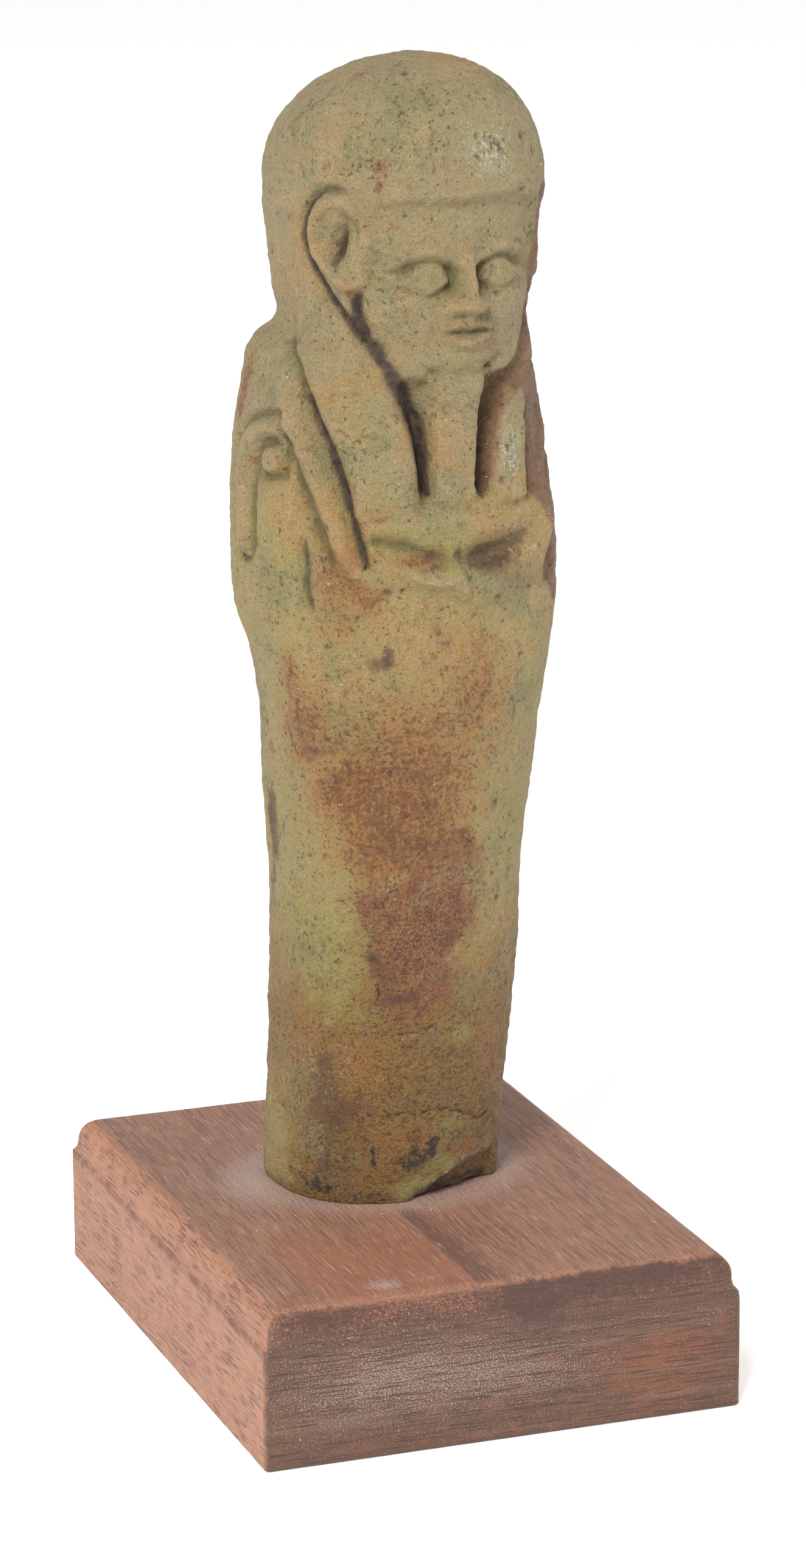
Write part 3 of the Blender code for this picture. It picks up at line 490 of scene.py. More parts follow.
def stains():
    """Each kind of stain, and some painted shadow, as soft ovals: place on the skin, half width, half height
    and strength.
    """
    return {
        "rust": ((-6, 47, 13, 13, 0.3), (-6.5, 48.5, 9, 6.5, 0.5), (-5.5, 41.5, 8, 4.6, 0.6),
                 (-9, 36.5, 4, 3.6, 0.4), (-2.5, 37, 5, 3.6, 0.6), (-17, 51, 3, 4.2, 0.7),
                 (-11.6, 44.4, 3, 2.4, 0.45), (2.4, 55, 4.4, 6.5, 0.5), (-12.6, 61.2, 3.2, 2.2, 0.5),
                 (-18.5, 56.5, 1.4, 2.6, 0.6), (-12.6, 66.4, 2.6, 3, 0.8), (-9.2, 64, 1.8, 1.6, 0.6),
                 (-10.6, 68.4, 1.4, 2.4, 0.5), (-4, 67.5, 3.6, 0.7, 0.95), (6.1, 15.2, 1.9, 2.8, 0.85),
                 (7.3, 11.7, 1.4, 1.6, 0.7), (-2.4, 6.6, 4.4, 1.8, 0.85), (-8, 15.5, 3.4, 2.6, 0.6),
                 (-8.5, 11.5, 3, 3, 0.45), (4, 4.5, 1.6, 1.2, 0.7), (8.2, 3.2, 1.2, 1.8, 0.95),
                 (-7, 3.2, 3.4, 1.4, 0.5), (-15.4, 18.6, 2.6, 3.4, 0.5), (6.8, 26, 2, 3, 0.35),
                 (-25.6, 83.6, 1.6, 3.8, 1), (-22.5, 76.5, 0.5, 0.5, 0.9), (-17.9, 76.4, 1.2, 1, 0.6),
                 (-14.8, 84.6, 2.4, 2.4, 0.3), (0.4, 92.2, 1.8, 1.6, 0.4), (3.2, 88.6, 1.6, 1.4, 0.45),
                 (-6.2, 89.2, 0.5, 0.5, 0.9), (-12, 94.4, 0.8, 0.9, 0.8), (-9.4, 101, 5, 1.4, 0.3),
                 (-21, 107, 3.4, 2.4, 0.3), (-2, 104.8, 5, 1.2, 0.3), (-8.2, 72.4, 2, 1.6, 0.45),
                 (0.4, 76.6, 1.8, 2.6, 0.35), (26, 50, 7, 9, 0.5), (-33, 28, 5, 8, 0.5)),
        "red": ((-5.5, 31, 5, 3.4, 0.75), (0.4, 32.8, 3.4, 4.2, 0.8), (-1.5, 28, 4, 2.6, 0.7),
                (-5.2, 25.4, 3.4, 3, 0.8), (-2, 23, 4.4, 2, 0.4), (1.6, 37.6, 2.2, 2.2, 0.5),
                (5.2, 3.6, 1.4, 1.2, 0.8), (2.8, 6.6, 1, 0.8, 0.6), (-15.4, 48, 2.6, 1.2, 0.5),
                (-9.5, 106.2, 0.9, 0.9, 0.95), (-9.5, 104.4, 0.5, 0.8, 0.8), (-24.7, 108.6, 1, 0.8, 0.6),
                (-17.8, 114.4, 2, 0.8, 0.5), (0.9, 91.4, 0.9, 0.9, 0.6), (2.6, 88, 0.9, 1, 0.6),
                (-25.8, 81, 0.9, 1.8, 0.8), (30, 30, 5, 6, 0.5)),
        "green": ((-15.4, 29.8, 2.8, 3.4, 0.75), (-12.4, 25.8, 3.4, 3.2, 0.85),
                  (-17.8, 31.6, 2, 3.2, 0.5), (-11.4, 30.6, 1.8, 1.8, 0.5), (8.2, 38.5, 1.6, 5, 0.7),
                  (8.7, 30.8, 1.3, 2, 0.4), (1.9, 17.2, 1.8, 1.1, 0.75), (1.6, 7.6, 2.8, 1.1, 0.9),
                  (0.6, 3.4, 2, 1.6, 0.85), (-2.4, 1.4, 2.4, 1.2, 0.95), (3.7, 20.4, 0.8, 1.1, 0.5),
                  (-18.4, 11, 2.4, 6, 0.45), (-9, 82.2, 2.6, 4.6, 0.6), (-7, 76, 2.4, 3, 0.35),
                  (-3.4, 70.2, 6, 1.9, 0.7), (2, 62.4, 3.2, 2.2, 0.55), (-0.6, 66.4, 1.4, 1.6, 0.75),
                  (-19.5, 68, 3, 6, 0.45), (5.4, 78, 1.4, 4, 0.5), (12, 54, 1.6, 6, 0.4),
                  (-1, 110.6, 8, 3, 0.2), (-2.6, 95.4, 5, 1.6, 0.35), (-1.4, 88.8, 2.2, 1.6, 0.4),
                  (30, 40, 6, 12, 0.6), (-32, 66, 7, 9, 0.5)),
        "umber_and_shade": ((-22.4, 40.4, 1.3, 2.4, 1), (-21.8, 36.6, 1.1, 3, 0.85), (-22.8, 32.4, 1.1, 2.4, 0.7),
                  (-9.1, 57.5, 1.4, 0.9, 0.85), (-7.9, 58.2, 0.5, 1.3, 0.95), (0.2, 27.9, 0.9, 0.7, 1),
                  (5.3, 41.5, 0.5, 0.8, 0.95), (1.2, 38.9, 0.8, 0.6, 0.85), (-14.6, 48.3, 1.5, 0.7, 0.8),
                  (-10.8, 47, 0.8, 1.1, 0.6), (-9.2, 40.8, 0.5, 0.8, 0.6), (-8.1, 26.6, 1.1, 1.2, 0.85),
                  (-4.6, 22.3, 1, 0.6, 1), (-3.2, 42.5, 0.9, 0.5, 0.5), (-6.9, 24.2, 1.4, 1.3, 0.85),
                  # The ovals at girth 6, -3 and -6, heights 64.8 to 68.4, are painted shadow under the
                  # forearms; those at girth 3 to 7.6 are a dark stain in the recess there
                  (-6.3, 21.9, 1.3, 0.8, 0.85), (3, 67, 2.6, 1.5, 1), (5.4, 67.3, 2.4, 1.1, 0.75),
                  (7.6, 68.5, 1.6, 1, 0.6), (6, 64.8, 3.2, 1.7, 0.4), (-3, 66.7, 2.4, 0.45, 0.75),
                  (-6, 68.4, 1.8, 0.5, 0.5), (-11.8, 9.6, 3, 4.4, 0.75), (-8.2, 10.4, 2.4, 2, 0.5),
                  (-12.6, 15.4, 1.1, 1.6, 0.75), (-10.6, 3.4, 3.4, 2.2, 0.5), (1.6, 57.8, 4, 3, 0.3),
                  (3.2, 33, 2.2, 3.4, 0.4), (-3.4, 87.8, 1.6, 0.9, 0.35), (34, 18, 5, 7, 0.6),
                  (-30, 48, 4, 8, 0.5)),
        "soot": ((-1.8, 4.8, 2.1, 1.8, 0.8), (-0.4, 5.6, 0.7, 1.1, 0.95), (-3, 4.1, 1.3, 0.7, 0.75),
                 (-6.8, 5.2, 0.35, 1.5, 0.95), (-6.6, 3.7, 0.9, 0.4, 0.75), (-13.4, 1.9, 1.9, 0.9, 0.8),
                 (-11.3, 1.2, 1.5, 0.7, 0.7), (-8.2, 1.3, 1.4, 0.9, 0.6), (-5.6, 0.7, 1.6, 0.6, 0.8),
                 (-4.8, 14.6, 0.4, 0.9, 0.5), (3.8, 19.6, 0.4, 1.2, 0.4), (24, 6, 4, 2.4, 0.6)),
        "chalk": ((2.2, 107.6, 4.2, 3.2, 1), (2.6, 103.8, 2.8, 0.5, 0.5), (-15.6, 108.3, 3.2, 1.3, 0.5),
                  (6.2, 77, 1.7, 3.6, 1.1), (8.4, 67.2, 1.5, 1, 0.6), (-0.6, 66.9, 1.1, 0.9, 0.6),
                  (-3, 65.3, 2.6, 0.4, 0.75), (-21, 4.4, 1.8, 1.7, 0.6), (6, 60, 2.6, 1.2, 0.35),
                  (-9.5, 84, 1.6, 1.4, 0.35)),
    }


def paint_of(skin, relief):
    """How strongly each stain, worn place and painted shade shows on the figure, from 0 to 1."""
    paint = {}
    for name, ovals in stains().items():
        covered = sum(mound(skin, (u, z), (wide, tall), strength) for u, z, wide, tall, strength in ovals)
        paint[name] = np.clip(covered, 0.0, 1.0)
    red_shin = [(-10.7, 33.1), (-8.5, 34.7), (-5.5, 35.3), (-0.2, 37.3), (2.7, 36.6), (2.2, 30.5),
                (0.5, 26.9), (0.5, 21.7), (-5.3, 19.1), (-8.0, 21.1), (-8.8, 25.0), (-9.5, 29.5)]
    paint["red"] = np.maximum(paint["red"], plateau(skin, red_shin, 0.78, 3.4))
    green_shin = [(-20.8, 31.4), (-16.0, 31.8), (-11.4, 31.4), (-10.3, 27.5), (-8.8, 23.7), (-9.0, 19.8),
                  (-12.3, 18.8), (-15.4, 20.4), (-16.6, 24.0), (-20.4, 25.6)]
    paint["green"] = np.maximum(paint["green"], plateau(skin, green_shin, 0.55, 3.4))
    # The figure's left side, turned from the light, from the wig past the lappet to the elbow: bare body with
    # painted shade over it
    bare_and_shaded_side = [(10.4, 103.2), (16.0, 104.2), (22.0, 102.0), (23.0, 92.0), (21.0, 84.0), (19.6, 76.0),
                 (18.0, 66.0), (15.4, 60.0), (13.4, 63.0), (12.0, 68.0), (9.7, 71.5), (8.8, 76.0),
                 (8.7, 80.0), (7.6, 83.2), (5.7, 81.2), (5.0, 78.0), (4.2, 75.0), (3.3, 72.9),
                 (2.5, 73.4), (2.5, 78.0), (2.7, 83.0), (3.6, 85.0), (6.2, 86.0), (8.2, 87.4),
                 (9.6, 90.6), (10.2, 95.5), (10.4, 99.5)]
    paint["bare_and_shade"] = plateau(skin, bare_and_shaded_side, 1.0, 1.2) * ramp(skin[0], 25.0, 13.0)
    chip_rim = [(-1.2, 0.9), (1.0, 1.7), (3.4, 2.9), (5.6, 3.5), (7.6, 3.6)]
    paint["chalk"] = np.maximum(paint["chalk"], ridge(skin, chip_rim, 1.2, 0.55))
    # A dark band in the hollow between the beard and the left lappet: painted shade
    by_beard = [(4.1, 84.0), (3.6, 79.0), (3.4, 74.0)]
    paint["umber_and_shade"] = np.maximum(paint["umber_and_shade"], ridge(skin, by_beard, 0.85, [0.8, 1.2, 0.8]))
    cracks = sum(ridge(skin, points, 1.0, half_width * 1.5) for points, half_width in crack_lines())
    paint["crack"] = np.clip(cracks, 0.0, 1.0)
    # Dark lines along the jaw grooves, the handle groove, behind the ear, the fist and under the raised chip:
    # earth in the grooves, and painted shade in the hollows beside the beard and in the gap under the chip
    right_jaw = [(-11.9, 93.2), (-11.2, 90.6), (-9.0, 87.9), (-6.6, 85.0), (-4.7, 82.3), (-3.5, 79.2),
                 (-3.1, 76.2), (-2.9, 73.9)]
    right_handle = [(-15.2, 83.6), (-13.4, 80.6), (-12.0, 77.2), (-11.0, 74.0), (-10.3, 70.4), (-9.5, 67.2)]
    fist_edge = [(-15.8, 69.4), (-15.8, 66.6), (-15.4, 63.4)]
    behind_ear = [(-15.0, 103.9), (-17.4, 102.0), (-18.3, 98.9), (-17.3, 96.5), (-15.3, 94.3), (-13.1, 92.2),
                  (-10.9, 90.1)]
    chip_foot = [(-1.4, 0.2), (2.0, 0.3), (5.0, 0.5), (8.6, 0.4)]
    grooves_dirt_and_shade = (ridge(skin, right_jaw, 1.0, [0.4, 0.5, 0.6, 0.8, 1.2, 1.1, 0.7, 0.3])
            + ridge(skin, right_handle, 0.85, [0.15, 0.3, 0.5, 0.45, 0.4, 0.15])
            + ridge(skin, behind_ear, 0.85, [0.1, 0.3, 0.65, 0.5, 0.4, 0.45, 0.6])
            + ridge(skin, fist_edge, 0.4, [0.2, 0.5, 0.2]) + ridge(skin, chip_foot, 0.95, 0.5)
            + mound(skin, (-13.5, 98.4), (0.5, 2.0), 0.6, tilt=-0.3))
    soft, softer = soften(relief, 14), soften(relief, 60)
    # Darker in every recess of the carving: earth held in it, and painted shade
    paint["hollow"] = np.clip((soft - relief) * 3.2, 0.0, 1.0)
    paint["grime_and_shade"] = np.clip((soft - relief) * 1.2 + grooves_dirt_and_shade, 0.0, 1.0)
    paint["green"] = np.clip(paint["green"] + (softer - relief) * 0.8 * ramp(skin[1], 56.0, 62.0), 0.0, 1.0)
    dusty_foot = mound(skin, (-20.5, 3.0), (3.4, 3.4), 0.95)
    paint["rubbed"] = np.clip((relief - softer) * 1.1 + dusty_foot, 0.0, 1.0)
    paint["lower"] = ramp(skin[1], 40.0, 14.0) * (1.0 - mound(skin, (-21.0, 4.0), (5.0, 6.5), 0.95))
    paint["upper"] = ramp(skin[1], 58.0, 84.0)
    return paint


def linear(shade):
    """Turn an sRGB hex colour into the linear colour that a shader takes."""
    parts = [int(shade[start:start + 2], 16) / 255.0 for start in (1, 3, 5)]
    light = [part / 12.92 if part <= 0.04045 else ((part + 0.055) / 1.055) ** 2.4 for part in parts]
    return (*light, 1.0)


def add(tree, kind, settings=None, feeds=None, output=None):
    """Add one node, give it its settings, set or link its inputs, and return one of its outputs."""
    made = tree.nodes.new(kind)
    for name, value in (settings or {}).items():
        setattr(made, name, value)
    for name, value in (feeds or {}).items():
        socket = next(each for each in made.inputs if each.identifier == name)
        if isinstance(value, bpy.types.NodeSocket):
            tree.links.new(value, socket)
        else:
            socket.default_value = value
    if output:
        return made.outputs[output]
    return next((each for each in made.outputs if each.enabled), None)


def new_material(name):
    """Start a material with nothing but its Principled shader."""
    material = bpy.data.materials.new(name)
    material.use_nodes = True
    tree = material.node_tree
    return material, tree, tree.nodes["Principled BSDF"]


def in_millimetres(tree, stretch=(1.0, 1.0, 1.0)):
    """Object coordinates counted in millimetres, so that a pattern's scale is 1 / its real size."""
    place = add(tree, "ShaderNodeTexCoord", output="Object")
    factor = tuple(part / MILLIMETRE for part in stretch)
    return add(tree, "ShaderNodeMapping", feeds={"Vector": place, "Scale": factor})


def read_in(tree, patterns, names):
    """The noises and the painted marks that a material works with, each under its name.

    A pattern is its name, the place that it reads, its size in millimetres, its detail and roughness.
    """
    noises = {name: add(tree, "ShaderNodeTexNoise", {}, {
        "Vector": place, "Scale": 1.0 / size, "Detail": detail, "Roughness": roughness})
        for name, place, size, detail, roughness in patterns}
    marks = {name: add(tree, "ShaderNodeAttribute", {"attribute_name": name}, output="Fac") for name in names}
    return noises, marks


def shaken(tree, mark, noise, spread):
    """Add a noise to a painted place, so that its edge is broken."""
    offset = add(tree, "ShaderNodeMath", {"operation": "MULTIPLY_ADD"},
                 {"Value": noise, "Value_001": spread, "Value_002": -0.5 * spread})
    return add(tree, "ShaderNodeMath", {"operation": "ADD"}, {"Value": mark, "Value_001": offset})


def layered(tree, blend, grounds, layers):
    """Blend two ground colours by a noise, and lay further colours over them, each by its cover."""
    colour = add(tree, "ShaderNodeMix", {"data_type": "RGBA"}, {
        "Factor_Float": blend, "A_Color": linear(grounds[0]), "B_Color": linear(grounds[1])})
    for shade, cover in layers:
        colour = add(tree, "ShaderNodeMix", {"data_type": "RGBA"}, {
            "Factor_Float": cover, "A_Color": colour, "B_Color": linear(shade)})
    return colour


def surface(tree, shader, colour, gloss, heights, strength, depth):
    """Give a shader its colour, its uneven roughness and its finest relief, with no metal in it.

    Gloss is a noise and the least and most roughness. Heights is a ground, then heights to add to
    it, each with its weight.
    """
    tree.links.new(colour, shader.inputs["Base Color"])
    noise, least, most = gloss
    roughness = add(tree, "ShaderNodeMapRange", {}, {
        "Value": noise, "From Min": 0.3, "From Max": 0.7, "To Min": least, "To Max": most})
    tree.links.new(roughness, shader.inputs["Roughness"])
    total, *added = heights
    for height, weight in added:
        total = add(tree, "ShaderNodeMath", {"operation": "MULTIPLY_ADD"},
                    {"Value": height, "Value_001": weight, "Value_002": total})
    relief = add(tree, "ShaderNodeBump", {}, {"Strength": strength, "Distance": depth, "Height": total})
    tree.links.new(relief, shader.inputs["Normal"])
    shader.inputs["IOR"].default_value = 1.5
    shader.inputs["Metallic"].default_value = 0.0


def worn_faience():
    """Egyptian faience: ground quartz paste pressed in a mould, with a thin glaze worn down to it.

    To the eye it is matt, granular and slightly pitted. The blue-green glaze has gone buff, with
    traces of green left, iron-orange mottling, and earth held in the grooves. Painted shade darkens
    the grooves, the hollows beside the beard and the side turned from the light.
    """
    material, tree, shader = new_material("moulded faience, worn glaze")
    grain_at = in_millimetres(tree)
    # The real grains are about 0.1 mm; "sand" and "freckle" draw them at 0.2 and 0.4 mm, so that they show
    noises, marks = read_in(tree, (
        ("cloud", grain_at, 7.0, 6.0, 0.62), ("blotch", grain_at, 2.4, 7.0, 0.7),
        ("speckle", grain_at, 0.8, 6.0, 0.75), ("freckle", grain_at, 0.38, 4.0, 0.7),
        ("sand", grain_at, 0.2, 3.0, 0.65), ("pale", grain_at, 0.5, 5.0, 0.7),
        ("mottle", grain_at, 1.5, 6.0, 0.7), ("dot", grain_at, 1.4, 2.0, 0.5),
        ("hole", grain_at, 0.6, 1.0, 0.4), ("wash", grain_at, 15.0, 5.0, 0.6)),
        ("rust", "red", "green", "umber_and_shade", "soot", "chalk", "bare_and_shade", "crack", "grime_and_shade", "rubbed", "hollow",
         "lower", "upper", "pits"))

    # Pinholes left by gas in the glaze, of uneven outline: large ones about 2.2 mm apart, small ones 0.8 mm.
    # Each row is their spacing, the share of places that has none, and the widest as a share of the spacing
    bend = add(tree, "ShaderNodeTexNoise", {}, {"Vector": grain_at, "Scale": 1.0 / 0.4}, output="Color")
    uneven = add(tree, "ShaderNodeVectorMath", {"operation": "MULTIPLY_ADD"}, {
        "Vector": bend, "Vector_001": (0.5, 0.5, 0.5), "Vector_002": grain_at})
    pinhole = 0.0
    for spacing, rare, widest in ((2.2, 0.5, 0.1), (0.8, 0.6, 0.2)):
        cells = {"Vector": uneven, "Scale": 1.0 / spacing}
        gap = add(tree, "ShaderNodeTexVoronoi", {}, cells, output="Distance")
        luck = add(tree, "ShaderNodeTexVoronoi", {}, cells, output="Color")
        chance = add(tree, "ShaderNodeSeparateColor", {}, {"Color": luck})
        width = add(tree, "ShaderNodeMapRange", {}, {
            "Value": chance, "From Min": rare, "From Max": 1.0, "To Min": 0.001, "To Max": widest})
        near = add(tree, "ShaderNodeMath", {"operation": "DIVIDE"}, {"Value": gap, "Value_001": width})
        hole = add(tree, "ShaderNodeMapRange", {"interpolation_type": "SMOOTHSTEP"}, {
            "Value": near, "From Min": 0.4, "From Max": 1.2, "To Min": 1.0, "To Max": 0.0})
        pinhole = add(tree, "ShaderNodeMath", {"operation": "MAXIMUM"}, {
            "Value": hole, "Value_001": pinhole})
    pinhole_dark = add(tree, "ShaderNodeMath", {"operation": "MULTIPLY"}, {
        "Value": pinhole, "Value_001": 0.58})

    # Besides the painted places: everywhere alike, gathered in clouds, or scattered in wide washes
    marks["anywhere"] = 0.0
    for name, noise, fewest, most in (("gathered", "cloud", -0.3, 0.1), ("scattered", "wash", -0.4, 0.15)):
        marks[name] = add(tree, "ShaderNodeMapRange", {}, {
            "Value": noises[noise], "From Min": 0.36, "From Max": 0.64, "To Min": fewest, "To Max": most})
    # Colours from the ground up: shade, where it lies, the noise that breaks it up, how much the noise
    # spreads it, the values between which it appears, and how far it covers at most
    covers = (
        ("#A07A49", "lower", "cloud", 1.8, 0.15, 0.85, 0.9),
        ("#A39474", "upper", "cloud", 2.2, 0.2, 0.9, 0.75),
        ("#B69164", "anywhere", "wash", 5.5, 0.1, 0.7, 0.5),
        ("#8E8B64", "anywhere", "cloud", 5.5, 0.1, 0.7, 0.6),
        ("#C2B18C", "anywhere", "blotch", 5.5, 0.05, 0.65, 0.6),
        ("#A17A54", "anywhere", "mottle", 5.0, 0.3, 0.9, 0.45),
        ("#704D34", "lower", "blotch", 3.6, 0.8, 1.5, 0.65),
        ("#5E4229", "lower", "freckle", 6.0, 1.0, 1.4, 0.8),
        ("#54402C", "lower", "sand", 6.0, 1.1, 1.5, 0.7),
        ("#AE9462", "lower", "speckle", 5.0, 1.0, 1.6, 0.6),
        ("#A39C66", "green", "blotch", 2.6, 0.15, 0.95, 0.85),
        ("#7C774E", "green", "speckle", 4.0, 0.75, 1.4, 0.6),
        ("#B4885B", "rust", "blotch", 2.4, 0.1, 0.95, 0.8),
        ("#925F40", "rust", "speckle", 5.0, 0.6, 1.3, 0.7),
        ("#71412F", "rust", "mottle", 5.5, 0.95, 1.7, 0.6),
        ("#6A4430", "rust", "freckle", 6.0, 0.9, 1.3, 0.7),
        ("#6A442E", "rust", "sand", 6.0, 0.85, 1.35, 0.5),
        ("#8E6048", "red", "blotch", 2.8, 0.1, 0.95, 0.85),
        ("#673B31", "red", "mottle", 5.0, 0.75, 1.6, 0.65),
        ("#563028", "red", "freckle", 6.0, 0.9, 1.3, 0.75),
        ("#B0805E", "red", "sand", 6.0, 1.1, 1.5, 0.6),
        # Bare body on the figure's left side, darkened further as painted shade
        ("#8C6C55", "bare_and_shade", "blotch", 2.2, 0.2, 0.8, 0.94),
        ("#6A4E3C", "bare_and_shade", "speckle", 4.5, 0.85, 1.4, 0.7),
        # Dark brown stains, with painted shadow under the forearms and painted shade beside the beard
        ("#70523E", "umber_and_shade", "blotch", 2.0, 0.2, 0.9, 0.85),
        ("#422B26", "umber_and_shade", "speckle", 4.4, 0.75, 1.3, 0.8),
        ("#7B6A45", "gathered", "speckle", 5.5, 0.2, 0.8, 0.7),
        ("#5E4834", "gathered", "freckle", 6.0, 0.45, 1.0, 0.8),
        ("#CBBE9A", "scattered", "pale", 5.5, 0.5, 1.05, 0.6),
        ("#A17245", "scattered", "dot", 6.0, 0.85, 1.4, 0.5),
        ("#4A3C2B", "gathered", "hole", 6.0, 1.05, 1.4, 0.65),
        ("#BE9E7A", "rubbed", "blotch", 2.0, 0.15, 1.0, 0.55),
        # Recesses and grooves darkened: earth held in them, and painted shade
        ("#756A49", "hollow", "blotch", 1.8, 0.1, 0.8, 0.65),
        ("#5C4A3A", "grime_and_shade", "blotch", 1.8, 0.15, 0.9, 0.85),
        ("#36292B", "grime_and_shade", "speckle", 2.6, 0.6, 1.2, 0.85),
        ("#2B2724", "soot", "speckle", 4.0, 0.5, 1.05, 0.9),
        ("#ABA688", "chalk", "blotch", 3.0, 0.35, 1.0, 0.55),
        ("#625C43", "chalk", "speckle", 5.5, 0.95, 1.4, 0.85),
        ("#D4CFBA", "chalk", "freckle", 6.5, 1.1, 1.6, 0.75),
        ("#2A221C", "crack", "speckle", 4.4, 0.45, 0.9, 0.85),
    )

    def torn(mark, noise, spread, low, high, most):
        """Break a painted place up with a noise, into a cover from 0 to most."""
        return add(tree, "ShaderNodeMapRange", {"interpolation_type": "SMOOTHSTEP"}, {
            "Value": shaken(tree, marks[mark], noises[noise], spread),
            "From Min": low, "From Max": high, "To Min": 0.0, "To Max": most})

    layers = [(shade, torn(*cover)) for shade, *cover in covers]
    layers.append(("#382B22", pinhole_dark))
    layers.append(("#524230", torn("pits", "freckle", 2.4, 0.3, 1.0, 0.6)))
    colour = layered(tree, noises["wash"], ("#A79868", "#AE9D6F"), layers)
    lightness = add(tree, "ShaderNodeMapRange", {}, {
        "Value": noises["sand"], "From Min": 0.3, "From Max": 0.7, "To Min": 0.52, "To Max": 0.99})
    colour = add(tree, "ShaderNodeHueSaturation", {}, {
        "Value": lightness, "Saturation": 1.14, "Color": colour})
    sunk = add(tree, "ShaderNodeMath", {"operation": "MULTIPLY"}, {"Value": pinhole, "Value_001": -0.8})
    grains = (sunk, (noises["speckle"], 1.4), (noises["freckle"], 1.2), (noises["sand"], 0.7))
    surface(tree, shader, colour, (noises["blotch"], 0.48, 0.75), grains, 1.0, 0.32 * MILLIMETRE)
    return material


